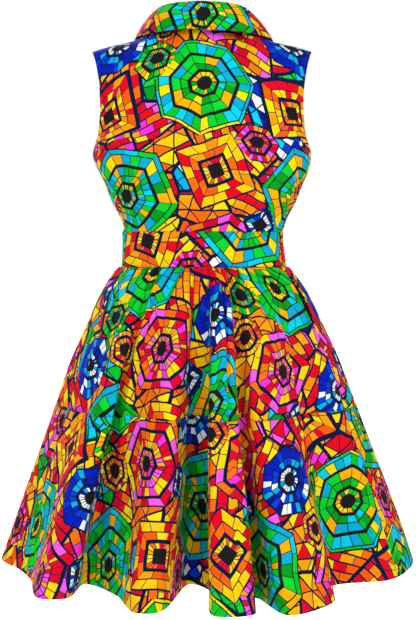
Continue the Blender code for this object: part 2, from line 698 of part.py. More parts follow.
# Buttons, numbered from the neck down.
collar_spot = stand(np.array(180.0), np.array(0.5))
collar_out = np.array((0.0, 1.0, 0.16))
collar_out = collar_out / np.linalg.norm(collar_out)
places = [(collar_spot, collar_out, COLLAR_CLOTH, 0.0006)]
for where, z, clear in BUTTONS:
    if where == "bodice":
        spot, way = on_line(bodice_line, z)
        places.append((spot, way, PLACKET_CLOTH, clear))
    elif where == "skirt":
        spot, way = on_line(skirt_line, z)
        places.append((spot, way, PLACKET_CLOTH, clear))
    else:
        spot = torso(CENTRE_FRONT, z)
        places.append((spot, np.array((0.0, 1.0, 0.0)), BAND_CLOTH, clear))
for number, (spot, way, wall, clear) in enumerate(places, 1):
    lift = wall / 2 + clear + BUTTON_THICK / 2
    spot = spot + way * lift
    spot[0] += leaning(spot[2])
    button(f"button_{number}", Vector(spot), way, button_look)
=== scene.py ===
# %% [markdown]
# # A sleeveless ankara wax print dress
#
# The dress is shown from its back, in its worn shape, with its hollows open. Its solids
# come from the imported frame. This lesson dresses them: every panel becomes a thin, finely
# divided shell on the same form, the print is built from node groups, and stitching,
# buttons and light are added. Sizes are in metres, +Z is up and -Y is the dress's back.

# %% Setup
import math
import bmesh
import bpy
import numpy as np
from mathutils import Matrix, Vector


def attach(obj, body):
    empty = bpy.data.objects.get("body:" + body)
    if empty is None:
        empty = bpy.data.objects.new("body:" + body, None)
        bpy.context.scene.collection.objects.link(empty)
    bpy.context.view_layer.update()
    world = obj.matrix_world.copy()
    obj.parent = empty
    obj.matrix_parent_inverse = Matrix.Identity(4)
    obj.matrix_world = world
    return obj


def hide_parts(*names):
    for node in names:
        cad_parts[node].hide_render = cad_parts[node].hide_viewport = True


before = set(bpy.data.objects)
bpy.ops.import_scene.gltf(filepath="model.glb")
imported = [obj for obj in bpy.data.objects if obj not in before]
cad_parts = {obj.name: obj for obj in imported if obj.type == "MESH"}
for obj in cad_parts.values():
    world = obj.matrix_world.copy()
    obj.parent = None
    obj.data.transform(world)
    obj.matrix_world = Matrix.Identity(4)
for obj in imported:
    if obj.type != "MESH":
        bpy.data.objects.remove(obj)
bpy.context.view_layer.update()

# %% [markdown]
# ## Camera
#
# The camera comes first, so that each later cell can be judged through it. It stands
# 2.3 m behind the dress, level with the waistband, and looks slightly down. A camera can
# be placed by eye, but here its distance, tilt, lens and shift are fitted to the
# photograph's outline, so that the hem's curve opens by the right amount. The long lens
# keeps the near folds from swelling.

# %% Camera
CAMERA_X = 0.0034
CAMERA_DISTANCE = 2.301
CAMERA_Z = -0.3410
LENS_MM = 74.25
SENSOR_MM = 36.0
TILT = 1.78
SHIFT = -0.0484
SEES_UP_TO = 60.0

eye_data = bpy.data.cameras.new("camera")
eye_data.lens = LENS_MM
eye_data.sensor_width = SENSOR_MM
eye_data.shift_y = SHIFT
eye_data.clip_end = SEES_UP_TO
eye = bpy.data.objects.new("camera", eye_data)
eye.location = (CAMERA_X, -CAMERA_DISTANCE, CAMERA_Z)
eye.rotation_euler = (math.radians(90.0 - TILT), 0.0, 0.0)
bpy.context.scene.collection.objects.link(eye)
bpy.context.scene.camera = eye
print("camera at", tuple(round(v, 3) for v in eye.location))

# %% [markdown]
# ## Backdrop and light
#
# The dress hangs before one even white, in soft light. A white backdrop could be a curved
# sweep with lamps of its own. Here the floor glows for the camera alone, and the world is
# brighter to the camera than it is as light, so the backdrop stays white and the folds
# keep their shade. Three large soft panels light the cloth: a key and a fill on the
# camera's side, and one on the dress's front.

# %% Floor
FLOOR_Z = -1.42
FLOOR_RADIUS = 40.0
FLOOR_GLOW = 0.75

floor_mesh = bpy.data.meshes.new("floor")
floor_shape = bmesh.new()
bmesh.ops.create_circle(floor_shape, cap_ends=True, radius=FLOOR_RADIUS, segments=64)
floor_shape.to_mesh(floor_mesh)
floor_shape.free()
floor = bpy.data.objects.new("floor", floor_mesh)
floor.location = (0.0, 0.0, FLOOR_Z)
bpy.context.scene.collection.objects.link(floor)

pale = bpy.data.materials.new("pale floor")
pale.use_nodes = True
paint = pale.node_tree.nodes["Principled BSDF"]
paint.inputs["Base Color"].default_value = (0.90, 0.90, 0.90, 1)
paint.inputs["Roughness"].default_value = 0.9
paint.inputs["Emission Color"].default_value = (1, 1, 1, 1)
floor_seen = pale.node_tree.nodes.new("ShaderNodeLightPath")
glow = pale.node_tree.nodes.new("ShaderNodeMath")
glow.operation = "MULTIPLY"
glow.inputs[1].default_value = FLOOR_GLOW
pale.node_tree.links.new(floor_seen.outputs["Is Camera Ray"], glow.inputs[0])
pale.node_tree.links.new(glow.outputs[0], paint.inputs["Emission Strength"])
floor_mesh.materials.append(pale)
print("floor at", FLOOR_Z, "m")

# %% World
WORLD_AS_LIGHT = 0.57
WORLD_AS_SEEN = 1.0

world = bpy.data.worlds.new("studio")
bpy.context.scene.world = world
world.use_nodes = True
sky = world.node_tree.nodes["Background"]
sky.inputs["Color"].default_value = (1.0, 1.0, 1.0, 1)
seen = world.node_tree.nodes.new("ShaderNodeLightPath")
strength = world.node_tree.nodes.new("ShaderNodeMapRange")
strength.inputs["To Min"].default_value = WORLD_AS_LIGHT
strength.inputs["To Max"].default_value = WORLD_AS_SEEN
world.node_tree.links.new(seen.outputs["Is Camera Ray"], strength.inputs["Value"])
world.node_tree.links.new(strength.outputs["Result"], sky.inputs["Strength"])
print("world gives", WORLD_AS_LIGHT, "as light")

# %% Soft lights
# Each light's name, place, the point that it faces, its size and its power in watts.
LIGHTS = (
    ("key", (1.7, -2.8, 1.3), (0.0, 0.0, -0.45), 1.1, 49),
    ("fill", (-1.8, -2.7, 0.3), (0.0, 0.0, -0.5), 2.0, 25),
    ("front key", (-1.6, 2.5, 1.2), (0.0, 0.0, -0.45), 1.3, 58),
)


def area_light(name, place, target, size, power):
    """A square soft light that faces a point."""
    data = bpy.data.lights.new(name, "AREA")
    data.size = size
    data.energy = power
    lamp = bpy.data.objects.new(name, data)
    lamp.location = place
    aim = Vector(target) - Vector(place)
    lamp.rotation_euler = aim.to_track_quat("-Z", "Y").to_euler()
    bpy.context.scene.collection.objects.link(lamp)


for row in LIGHTS:
    area_light(*row)
# Blender's default transform would grey the white backdrop and pale the print.
bpy.context.scene.view_settings.view_transform = "Standard"
print("lights", [row[0] for row in LIGHTS])

# %% [markdown]
# ## The dress's sizes
#
# A dress is cut to a few sizes of the body: heights of the seams, half widths and depths
# at each level, and the places of the neck and the armholes. A shell could be wrapped
# round the solids instead, but it would copy their flat faces. These are the same named
# sizes and short tables as the solids' own source, so that each finer shell lies on its
# solid's form. Each row is a level of the body or a turn of the collar. Bearings are in
# degrees, 0 at the dress's right side, 90 at its back and 270 at its front.

# %% Heights, seams and cloth
GAP = 0.0003
# The bodice hangs this far to the left of the skirt's middle.
LEAN = -0.0075
# Heights of the seams that run round the dress.
MID_ARMHOLE_Z = -0.090
UNDERARM_Z = -0.168
BAND_TOP_Z = -0.326
BAND_LOW_Z = -0.388
TIER_Z = -0.635
HEM_Z = -0.918
# Wall of the solids' cloth. Collar and plackets are several layers sewn as one.
CLOTH = 0.0015
COLLAR_CLOTH = 0.0018
PLACKET_CLOTH = 0.0018
PLACKET_HALF = 0.015
# Side seams and centre front, as bearings.
SEAM_RIGHT = 18.0
SEAM_LEFT = 165.0
CENTRE_FRONT = 270.0
# The pocket mouth, in the right side seam.
MOUTH_TOP_Z = -0.396
MOUTH_LOW_Z = -0.500
MOUTH_OPEN = 0.005
# Wall of the finer panels that are made here.
SHELL = 0.0008
print("waist to hem is", round(BAND_LOW_Z - HEM_Z, 3), "m")

# %% Bodice table
# The bodice and band, a row for each level: half width, depth behind, depth before.
BODICE = {
    "z": (-0.388, -0.357, -0.326, -0.303, -0.274, -0.245, -0.216, -0.187, -0.159, -0.130, -0.090),
    "wide": (0.147, 0.1445, 0.1440, 0.1515, 0.1670, 0.1785, 0.1905, 0.1950, 0.1880, 0.1920, 0.1990),
    "back": (0.099, 0.0970, 0.0965, 0.1050, 0.1120, 0.1150, 0.1160, 0.1160, 0.1155, 0.1130, 0.1080),
    "front": (0.101, 0.0990, 0.0985, 0.1080, 0.1190, 0.1280, 0.1340, 0.1350, 0.1320, 0.1260, 0.1160),
}
ROUNDNESS = 2.25
# How far the bodice's side seams swing towards the back, in degrees, by height.
SIDE_SWING = {
    "z": (-0.388, -0.340, -0.326, -0.300, -0.275, -0.250, -0.220, -0.168),
    "right": (21.0, 21.0, 14.0, 16.0, 26.0, 24.0, 14.0, 2.0),
    "left": (15.0, 15.0, 13.0, 18.0, 27.0, 25.0, 15.0, 2.0),
}
print(len(BODICE["z"]), "levels of the bodice and band")

# %% Armholes, neck and collar
ARMHOLE_BACK = 0.055
ARMHOLE_FRONT = 0.050
SHOULDER_TIP = (0.196, 0.000, -0.010)
NECK_SIDE = (0.067, -0.004, 0.036)
NECK_BACK = (0.000, -0.065, 0.041)
NECK_FRONT = (0.000, 0.080, -0.046)
# Collar, a row for each turn from the back centre: the folded top and the free edge.
COLLAR = {
    "turn": (0, 35, 62, 90, 120, 148, 180),
    "top_x": (0.000, 0.043, 0.069, 0.080, 0.067, 0.040, 0.000),
    "top_y": (-0.073, -0.056, -0.031, 0.000, 0.037, 0.064, 0.078),
    "top_z": (0.0720, 0.0725, 0.0710, 0.0660, 0.0330, 0.0000, -0.0160),
    "edge_x": (0.000, 0.063, 0.103, 0.124, 0.118, 0.094, 0.054),
    "edge_y": (-0.087, -0.078, -0.048, -0.003, 0.058, 0.100, 0.120),
    "edge_z": (0.0220, 0.0212, 0.0182, 0.0165, 0.0030, -0.0300, -0.0670),
}
STAND_END = 192.0
FALL_END = 171.0
print(len(COLLAR["turn"]), "turns of the collar, from its middle to its ends")

# %% [markdown]
# ### Skirt sizes
#
# A gathered and flared skirt hangs in cones: a fold starts as a pucker under the band and
# is widest at the hem. It could be simulated, but a simulation gives other folds than the
# photograph's. So each fold is one row of four points at the hem, and the level table says
# how much of that hem shape the cloth has taken on at each height.

# %% Skirt table
# The skirt's sides, a row for each level: half width, half depth, share of the hem's folds,
# and how closely the cloth keeps each fold's own bearing.
SKIRT = {
    "z": (-0.388, -0.405, -0.432, -0.461, -0.490, -0.547, -0.605, -0.663, -0.720, -0.778, -0.850, -0.918),
    "wide": (0.150, 0.164, 0.182, 0.196, 0.209, 0.236, 0.258, 0.280, 0.301, 0.322, 0.347, 0.371),
    "deep": (0.101, 0.114, 0.130, 0.143, 0.155, 0.177, 0.196, 0.216, 0.234, 0.252, 0.272, 0.290),
    "fold": (0.035, 0.08, 0.14, 0.18, 0.22, 0.28, 0.36, 0.47, 0.60, 0.74, 0.88, 1.00),
    "keep": (0.00, 0.00, 0.06, 0.18, 0.30, 0.60, 0.85, 1.00, 1.00, 1.00, 1.00, 1.00),
}
print(len(SKIRT["z"]), "levels of the skirt")

# %% Hem folds and gathers
# Folds at the hem in order of bearing: the foot, the two shoulders and the other foot of
# each, as distance to the right and distance behind the origin.
FOLDS = (
    ("right side", (0.356, -0.072), (0.372, -0.010), (0.352, 0.080), (0.310, 0.146)),
    ("back d", (0.214, 0.180), (0.203, 0.280), (0.128, 0.350), (0.084, 0.258)),
    ("back c", (0.069, 0.246), (0.074, 0.346), (0.014, 0.355), (0.004, 0.206)),
    ("back b", (-0.026, 0.172), (-0.074, 0.336), (-0.108, 0.338), (-0.148, 0.236)),
    ("back a", (-0.203, 0.172), (-0.225, 0.257), (-0.268, 0.258), (-0.299, 0.140)),
    ("left side", (-0.330, 0.070), (-0.366, 0.016), (-0.371, -0.030), (-0.346, -0.086)),
    ("front e", (-0.290, -0.124), (-0.298, -0.222), (-0.240, -0.268), (-0.200, -0.192)),
    ("front f", (-0.172, -0.190), (-0.168, -0.304), (-0.106, -0.346), (-0.084, -0.252)),
    ("front g", (-0.064, -0.238), (-0.054, -0.356), (0.050, -0.360), (0.062, -0.236)),
    ("front h", (0.090, -0.228), (0.110, -0.336), (0.170, -0.302), (0.178, -0.200)),
    ("front i", (0.208, -0.178), (0.238, -0.266), (0.298, -0.222), (0.302, -0.124)),
)
# Gathers under the band: bearing, half width of the pucker, its depth and how far down it runs.
GATHERS = (
    (74.0, 2.6, 0.0070, 0.075),
    (80.5, 2.0, -0.0060, 0.085),
    (68.0, 2.2, -0.0040, 0.050),
    (61.5, 2.4, 0.0045, 0.055),
    (128.0, 2.4, 0.0050, 0.060),
    (133.5, 2.0, -0.0040, 0.055),
    (104.0, 3.0, 0.0030, 0.040),
    (40.0, 3.2, 0.0030, 0.045),
    (232.0, 2.6, 0.0055, 0.060),
    (238.5, 2.2, -0.0045, 0.060),
    (212.0, 3.0, 0.0035, 0.050),
    (304.0, 2.6, 0.0060, 0.070),
    (310.0, 2.2, -0.0045, 0.060),
    (330.0, 3.0, 0.0035, 0.045),
)
print(len(FOLDS), "folds at the hem and", len(GATHERS), "gathers under the band")

# %% [markdown]
# ## Smooth curves from the tables
#
# A table gives few levels, so a cubic with matched slopes runs between them. The hem is
# one closed curve through the folds' points, measured at fine steps. Its bearing turns
# back where a fold overhangs its neighbour, so a second, even bearing is kept for the
# gathered top, where cloth can't overhang.

# %% Curves
def smooth_row(at, knots, values, flat_ends=False):
    """Values of a table's column between its rows, without corners."""
    knots = np.asarray(knots, float)
    values = np.asarray(values, float)
    if knots[0] > knots[-1]:
        knots = knots[::-1]
        values = values[::-1]
    slope = np.gradient(values, knots)
    if flat_ends:
        slope[0] = 0
        slope[-1] = 0
    at = np.clip(at, knots[0], knots[-1])
    i = np.clip(np.searchsorted(knots, at) - 1, 0, len(knots) - 2)
    step = knots[i + 1] - knots[i]
    t = (at - knots[i]) / step
    return (
        values[i] * (1 + 2 * t) * (1 - t) ** 2
        + values[i + 1] * t * t * (3 - 2 * t)
        + slope[i] * step * t * (1 - t) ** 2
        - slope[i + 1] * step * t * t * (1 - t)
    )


def of_table(table, column, at):
    """A column of a table at any value of its first column."""
    first = next(iter(table))
    return smooth_row(at, table[first], table[column])


def side_power(value):
    """Squares a round section off a little, as a body's sections are."""
    return np.sign(value) * np.abs(value) ** (2.0 / ROUNDNESS)


def closed_curve(points):
    """A round closed curve through the points: a function of the point number."""
    points = np.asarray(points, float)
    count = len(points)

    def at(t):
        t = np.asarray(t, float) % count
        i = np.floor(t).astype(int) % count
        part = (t - np.floor(t))[..., None]
        a = points[(i - 1) % count]
        b = points[i]
        c = points[(i + 1) % count]
        d = points[(i + 2) % count]
        ab = np.linalg.norm(b - a, axis=-1, keepdims=True) ** 0.5
        bc = np.linalg.norm(c - b, axis=-1, keepdims=True) ** 0.5
        cd = np.linalg.norm(d - c, axis=-1, keepdims=True) ** 0.5
        m1 = c - b + bc * ((b - a) / ab - (c - a) / (ab + bc))
        m2 = c - b + bc * ((d - c) / cd - (d - b) / (bc + cd))
        h = part * part * (3 - 2 * part)
        bend = m1 * part * (1 - part) ** 2 - m2 * part * part * (1 - part)
        return b + (c - b) * h + bend

    return at


print("curve helpers ready")

# %% Hem curve
HEM_CURVE = closed_curve([point for row in FOLDS for point in row[1:]])
HEM_COUNT = 4 * len(FOLDS)
FINE_STEPS = 24


def hem_tables():
    """Bearing and reach of the hem at fine steps, and the bearings with no turning back."""
    steps = np.linspace(0, HEM_COUNT, HEM_COUNT * FINE_STEPS + 1)
    spot = HEM_CURVE(steps)
    turn = np.degrees(np.unwrap(np.arctan2(spot[:, 1], spot[:, 0])))
    reach = np.hypot(spot[:, 0], spot[:, 1])
    low = np.maximum.accumulate(turn)
    high = np.minimum.accumulate(turn[::-1])[::-1]
    even = (low + high) / 2
    length = np.concatenate([[0], np.cumsum(np.linalg.norm(np.diff(spot, axis=0), axis=1))])
    plain = turn[0] + 360 * length / length[-1]
    return steps, turn, reach, 0.80 * even + 0.20 * plain


HEM_STEPS, HEM_TURN, HEM_REACH, HEM_EVEN = hem_tables()
hem_parts = np.linalg.norm(np.diff(HEM_CURVE(HEM_STEPS), axis=0), axis=1)
print("hem is", round(float(hem_parts.sum()), 2), "m round")

# %% [markdown]
# ## The surfaces
#
# Sewn cloth has two directions of its own, so each panel is a grid of points on a surface
# that is a function of two numbers. Sculpting would give soft forms too, but no even grid
# to lay the print on. The bodice is made of round sections up to the middle of the
# armholes. Above that, columns of points curve over to the shoulder seams and the neck.
# The armholes are gaps left open, cut from the same sections. The skirt is bearing by
# height.

# %% Round sections and armholes
def torso(bearing, z):
    """The bodice and band as round sections, half width by depth at each height."""
    bearing, z = np.broadcast_arrays(np.asarray(bearing, float), np.asarray(z, float))
    turn = np.radians(bearing)
    wide = of_table(BODICE, "wide", z)
    deep = np.where(np.sin(turn) > 0, of_table(BODICE, "back", z), of_table(BODICE, "front", z))
    return np.stack([wide * side_power(np.cos(turn)), -deep * side_power(np.sin(turn)), z], -1)


def armhole(z, back):
    """How far round from the side the armhole's edge is, in degrees, at a height."""
    rise = np.clip((z - MID_ARMHOLE_Z) / (UNDERARM_Z - MID_ARMHOLE_Z), 0, 1)
    cut = np.sqrt(1 - rise**2) * (ARMHOLE_BACK if back else ARMHOLE_FRONT)
    deep = of_table(BODICE, "back" if back else "front", z)
    return np.degrees(np.arcsin((cut / deep) ** (ROUNDNESS / 2)))


print("widest at", max(BODICE["wide"]), "m from the middle")


# %% Neckline and yoke
SHOULDER_SHARE = 0.30


def neckline(share, back):
    """The bodice's top edge from the right shoulder tip over the neck to the left tip."""
    apart = np.array((0, -GAP if back else GAP, 0))
    tip = np.array(SHOULDER_TIP) + apart
    side = np.array(NECK_SIDE) + apart
    middle = np.array(NECK_BACK if back else NECK_FRONT)
    share = np.asarray(share, float)[..., None]
    mirrored = np.where(share > 0.5, 1 - share, share)
    along = np.clip(mirrored / SHOULDER_SHARE, 0, 1)
    shoulder = tip + (side - tip) * along
    shoulder = shoulder - np.array((0, 0, 0.0035)) * np.sin(np.pi * along)
    turn = np.clip((mirrored - SHOULDER_SHARE) / 0.20, 0, 1) * np.pi / 2
    round_neck = side * (1, 0, 0) * np.cos(turn)
    round_neck = round_neck + (side + (middle - side) * np.sin(turn)) * (0, 1, 0)
    drop = np.sin(turn) ** (1.0 if back else 1.25)
    round_neck = round_neck + (side + (middle - side) * drop) * (0, 0, 1)
    edge = np.where(mirrored <= SHOULDER_SHARE, shoulder, round_neck)
    return edge * np.where(share > 0.5, (-1, 1, 1), (1, 1, 1))


def yoke(share, up, back):
    """The bodice above the middle of the armholes: columns that curve over to its top edge."""
    share, up = np.broadcast_arrays(np.asarray(share, float), np.asarray(up, float))
    edge = armhole(np.array(MID_ARMHOLE_Z), back)
    bearing = edge + (180.0 - 2 * edge) * share
    start = torso(bearing if back else 360.0 - bearing, np.full(share.shape, MID_ARMHOLE_Z))
    end = neckline(share, back)
    mirrored = np.where(share > 0.5, 1 - share, share)
    neck = np.clip((mirrored - (0.26 if back else 0.24)) / 0.16, 0, 1)[..., None]
    neck = neck * neck * (3 - 2 * neck)
    gone = end - start
    over = gone * (0, 2.0 if back else 1.65, 0)
    spoke = (end - np.array(NECK_SIDE)) * (0, 1, 0) + end * (1, 0, 0)
    spoke = spoke / np.maximum(np.linalg.norm(spoke, axis=-1, keepdims=True), 1e-9)
    level = np.linalg.norm(gone * (1, 1, 0), axis=-1, keepdims=True)
    inward = -0.9 * spoke * level + gone * (0, 0, 1) + np.array((0, 0, 0.004))
    leave = over * (1 - neck) + inward * neck
    high = 2.0 if back else 1.6
    climb = gone * (0, 0, high) * (1 - neck) + gone * (0, 0, 1.15) * neck
    t = up[..., None]
    across = t * t * (3 - 2 * t)
    path = start + gone * across
    return path + climb * t * (1 - t) ** 2 - leave * t * t * (1 - t)


print("neck seam goes down to", NECK_FRONT[2], "m in front")


# %% Skirt surface and normals
def step_at(bearing):
    """The hem curve's point number at a bearing."""
    rounds = np.floor((bearing - HEM_EVEN[0]) / 360)
    return np.interp(bearing - 360 * rounds, HEM_EVEN, HEM_STEPS) + HEM_COUNT * rounds


def oval(turn, wide, deep):
    """How far out an oval lies in a direction."""
    return 1.0 / np.sqrt((np.cos(turn) / wide) ** 2 + (np.sin(turn) / deep) ** 2)


def skirt(step, z):
    """The skirt at a hem curve number and a height: every fold fades upwards to the band."""
    step, z = np.broadcast_arrays(np.asarray(step, float), np.asarray(z, float))
    wrapped = step % HEM_COUNT
    whole_turns = np.floor(step / HEM_COUNT) * 360
    own = np.interp(wrapped, HEM_STEPS, HEM_TURN) + whole_turns
    even = np.interp(wrapped, HEM_STEPS, HEM_EVEN) + whole_turns
    reach = np.interp(wrapped, HEM_STEPS, HEM_REACH)
    keep = of_table(SKIRT, "keep", z)
    bearing = even + (own - even) * keep
    turn = np.radians(bearing)
    base = oval(turn, of_table(SKIRT, "wide", z), of_table(SKIRT, "deep", z))
    hem = oval(np.radians(own), SKIRT["wide"][-1], SKIRT["deep"][-1])
    away = base + of_table(SKIRT, "fold", z) * (reach - hem)
    down = BAND_LOW_Z - z
    for at, half, depth, drop in GATHERS:
        off = (bearing - at + 180) % 360 - 180
        away = away + depth * np.exp(-((off / half) ** 2)) * np.exp(-((down / drop) ** 2))
    return np.stack([away * np.cos(turn), -away * np.sin(turn), z], -1)


def normals(surface, u, v, du, dv):
    """Unit normals of a surface function at a grid of its two parameters."""
    along = surface(u + du, v) - surface(u - du, v)
    down = surface(u, v + dv) - surface(u, v - dv)
    out = np.cross(along, down)
    size = np.linalg.norm(out, axis=-1, keepdims=True)
    return out / np.maximum(size, 1e-12)


def leaning(z):
    """Sideways shift of the whole dress at a height."""
    share = np.clip((np.asarray(z) + 0.48) / 0.20, 0, 1)
    return LEAN * share * share * (3 - 2 * share)


def seam_bearing(z, side):
    """Where a side seam runs, from its side's middle towards the back."""
    return of_table(SIDE_SWING, side, np.maximum(z, BAND_LOW_Z))


print("surfaces ready")


# %% [markdown]
# ## Creases placed one by one
#
# Pressed cotton keeps few creases: easing puckers over the waistband where the bodice
# blouses, drag lines from the underarms, and fine gathers under the band between the
# folds' own. A noise texture could wrinkle the cloth, but too evenly. So each row is a
# soft trough or ridge with its own place, direction, length, width and depth.

# %% Bodice creases
# Side, middle (x, z), direction in degrees from level, half length, half width, depth.
BODICE_CREASES = (
    ("back", 0.022, -0.303, 84, 0.020, 0.0040, 0.0035),
    ("back", 0.040, -0.306, 93, 0.015, 0.0032, -0.0026),
    ("back", 0.058, -0.300, 80, 0.024, 0.0045, 0.0038),
    ("back", 0.081, -0.305, 98, 0.017, 0.0035, -0.0023),
    ("back", 0.098, -0.298, 76, 0.022, 0.0046, 0.0029),
    ("back", -0.020, -0.309, 92, 0.013, 0.0040, 0.0020),
    ("back", -0.058, -0.304, 101, 0.018, 0.0050, 0.0026),
    ("back", -0.092, -0.300, 97, 0.022, 0.0046, -0.0020),
    ("back", -0.113, -0.288, 112, 0.030, 0.0060, 0.0032),
    ("back", 0.125, -0.270, 66, 0.035, 0.0070, 0.0035),
    ("back", 0.139, -0.222, 48, 0.036, 0.0080, -0.0038),
    ("back", 0.112, -0.205, 38, 0.034, 0.0090, 0.0026),
    ("back", -0.143, -0.216, 133, 0.038, 0.0085, -0.0038),
    ("back", -0.116, -0.192, 147, 0.030, 0.0090, 0.0023),
    ("back", -0.030, -0.250, 8, 0.055, 0.0100, -0.0020),
    ("back", 0.045, -0.236, 172, 0.045, 0.0090, 0.0017),
    ("back", 0.150, -0.095, 74, 0.034, 0.0070, -0.0023),
    ("back", -0.152, -0.080, 104, 0.030, 0.0070, -0.0020),
    ("back", 0.095, -0.030, 160, 0.030, 0.0080, 0.0020),
    ("front", 0.034, -0.302, 97, 0.019, 0.0040, 0.0029),
    ("front", 0.064, -0.298, 82, 0.024, 0.0046, 0.0035),
    ("front", 0.090, -0.304, 104, 0.017, 0.0038, -0.0023),
    ("front", -0.036, -0.305, 88, 0.016, 0.0042, -0.0023),
    ("front", -0.062, -0.299, 99, 0.022, 0.0044, 0.0035),
    ("front", -0.094, -0.303, 79, 0.018, 0.0040, 0.0026),
    ("front", 0.126, -0.255, 64, 0.036, 0.0075, 0.0032),
    ("front", -0.122, -0.262, 117, 0.033, 0.0070, 0.0035),
    ("front", 0.131, -0.205, 44, 0.038, 0.0090, -0.0041),
    ("front", -0.128, -0.210, 139, 0.036, 0.0085, -0.0038),
    ("front", 0.140, -0.110, 80, 0.032, 0.0070, -0.0023),
    ("front", -0.138, -0.100, 98, 0.034, 0.0070, -0.0026),
)

print(len(BODICE_CREASES), "bodice creases")

# %% Fine gathers and soft bends
# Bearing, half width in degrees, depth, and how far down from the band it fades.
FINE_GATHERS = (
    (24, 1.3, 0.0018, 0.027), (29, 1.0, -0.0014, 0.022), (34, 1.4, 0.0022, 0.037),
    (45, 1.2, -0.0017, 0.027), (50, 1.0, 0.0026, 0.033), (56, 1.2, -0.0030, 0.033),
    (62, 1.0, 0.0040, 0.033), (68, 0.8, -0.0032, 0.036), (73.5, 0.9, 0.0036, 0.040),
    (83.5, 0.8, 0.0024, 0.043), (87, 1.0, -0.0017, 0.033), (91, 1.1, 0.0017, 0.027),
    (97, 1.2, -0.0014, 0.025), (109, 1.0, 0.0017, 0.027), (114, 1.2, -0.0018, 0.033),
    (119, 1.0, 0.0020, 0.030), (124, 0.9, -0.0020, 0.037), (130.5, 0.8, 0.0025, 0.045),
    (137, 0.9, 0.0021, 0.043), (142, 1.1, -0.0018, 0.033), (148, 1.2, 0.0017, 0.027),
    (155, 1.1, -0.0014, 0.025), (172, 1.2, 0.0018, 0.030), (179, 1.0, -0.0017, 0.027),
    (186, 1.3, 0.0020, 0.033), (193, 1.1, -0.0015, 0.025), (200, 1.2, 0.0021, 0.037),
    (208, 1.0, -0.0018, 0.030), (217, 1.1, 0.0020, 0.033), (224, 0.9, -0.0020, 0.037),
    (228.5, 0.8, 0.0025, 0.045), (235, 0.9, 0.0022, 0.043), (242, 1.1, -0.0018, 0.033),
    (248, 1.0, 0.0018, 0.030), (255, 1.2, -0.0014, 0.025), (285, 1.2, 0.0017, 0.027),
    (291, 1.0, -0.0017, 0.030), (297, 1.1, 0.0020, 0.035), (301, 0.8, -0.0022, 0.043),
    (307, 0.8, 0.0025, 0.045), (314, 1.0, 0.0020, 0.035), (320, 1.2, -0.0017, 0.027),
    (326, 1.0, 0.0018, 0.030), (336, 1.2, -0.0017, 0.033), (343, 1.1, 0.0018, 0.027),
    (350, 1.2, -0.0014, 0.025), (357, 1.1, 0.0017, 0.027), (365, 1.2, -0.0014, 0.025),
)

# Bearing, height, half width in degrees, half height, depth.
SKIRT_BENDS = (
    (30, -0.560, 5.0, 0.080, 0.0040), (47, -0.700, 3.5, 0.060, -0.0030),
    (66, -0.520, 3.0, 0.070, 0.0030), (88, -0.760, 2.6, 0.080, 0.0030),
    (100, -0.560, 3.4, 0.090, -0.0035), (116, -0.690, 3.0, 0.060, 0.0030),
    (128, -0.500, 3.6, 0.060, 0.0035), (148, -0.600, 3.5, 0.080, -0.0030),
    (158, -0.780, 3.0, 0.070, 0.0030), (176, -0.560, 5.0, 0.080, 0.0040),
    (192, -0.740, 4.0, 0.070, -0.0035), (207, -0.520, 4.0, 0.070, 0.0035),
    (226, -0.700, 3.0, 0.080, 0.0030), (243, -0.540, 3.2, 0.070, -0.0030),
    (284, -0.560, 3.2, 0.080, 0.0030), (300, -0.740, 3.0, 0.070, -0.0030),
    (318, -0.520, 3.6, 0.070, 0.0035), (338, -0.700, 4.0, 0.080, 0.0035),
    (352, -0.540, 4.0, 0.080, -0.0035), (1, -0.850, 8.0, 0.100, 0.0045),
    (177, -0.400, 9.0, 0.020, 0.0035), (177, -0.456, 9.0, 0.050, 0.0040),
)

print(len(FINE_GATHERS), "fine gathers and", len(SKIRT_BENDS), "bends")

# %% [markdown]
# ### Laps and the fit of the bodice
#
# Where a deep fold swings sideways, its edge lies over the cloth beside it and throws a
# thin shadow. Two sheets could overlap, but the cloth is one piece there. A lap is
# therefore a rise to the edge, a quick step down and a groove beside it, and it runs out
# softly above and below. The bodice is also settled a little at one side and at
# the shoulder tips, where the photograph's outline asks for it.

# %% Laps
# Bearing of the edge, the side on top (1 is the dress's left), half width in degrees,
# height, and the heights where it starts and ends.
LAPS = (
    (40.6, 1, 3.6, 0.0058, -0.465, -0.720), (78.4, 1, 4.0, 0.0064, -0.392, -0.690),
    (129.0, 1, 3.6, 0.0062, -0.410, -0.710), (155.4, -1, 3.6, 0.0054, -0.415, -0.690),
    (207.0, -1, 3.4, 0.0042, -0.420, -0.690), (233.0, 1, 3.4, 0.0045, -0.400, -0.700),
    (303.0, -1, 3.6, 0.0046, -0.405, -0.690), (332.0, 1, 3.4, 0.0042, -0.430, -0.700),
)
# How sharp the step is, and how far the lap runs in and out, in degrees and metres.
LAP_EDGE = 0.26
LAP_RUN_IN = 0.035
LAP_RUN_OUT = 0.050
# The groove's depth as a share of the height, its distance from the edge and its width.
GROOVE_DEPTH = 0.6
GROOVE_OFF = 0.9
GROOVE_WIDE = 0.7


def smooth(share):
    """0 to 1 with a soft start and end."""
    share = np.clip(share, 0, 1)
    return share * share * (3 - 2 * share)


def lap_over(bearing, z):
    """How far the laps move the skirt outwards: a rise to the edge, a step and a groove."""
    push = np.zeros(np.broadcast(bearing, z).shape)
    for at, side, half, height, top, low in LAPS:
        off = side * ((bearing - at + 180) % 360 - 180)
        run = smooth((top - z) / LAP_RUN_IN) * smooth((z - low) / LAP_RUN_OUT)
        over = (0.5 + 0.5 * np.tanh(off / LAP_EDGE)) * np.exp(-((off / half) ** 2))
        groove = GROOVE_DEPTH * np.exp(-(((off + GROOVE_OFF) / GROOVE_WIDE) ** 2))
        push += run * height * (over - groove)
    return push


print(len(LAPS), "laps")


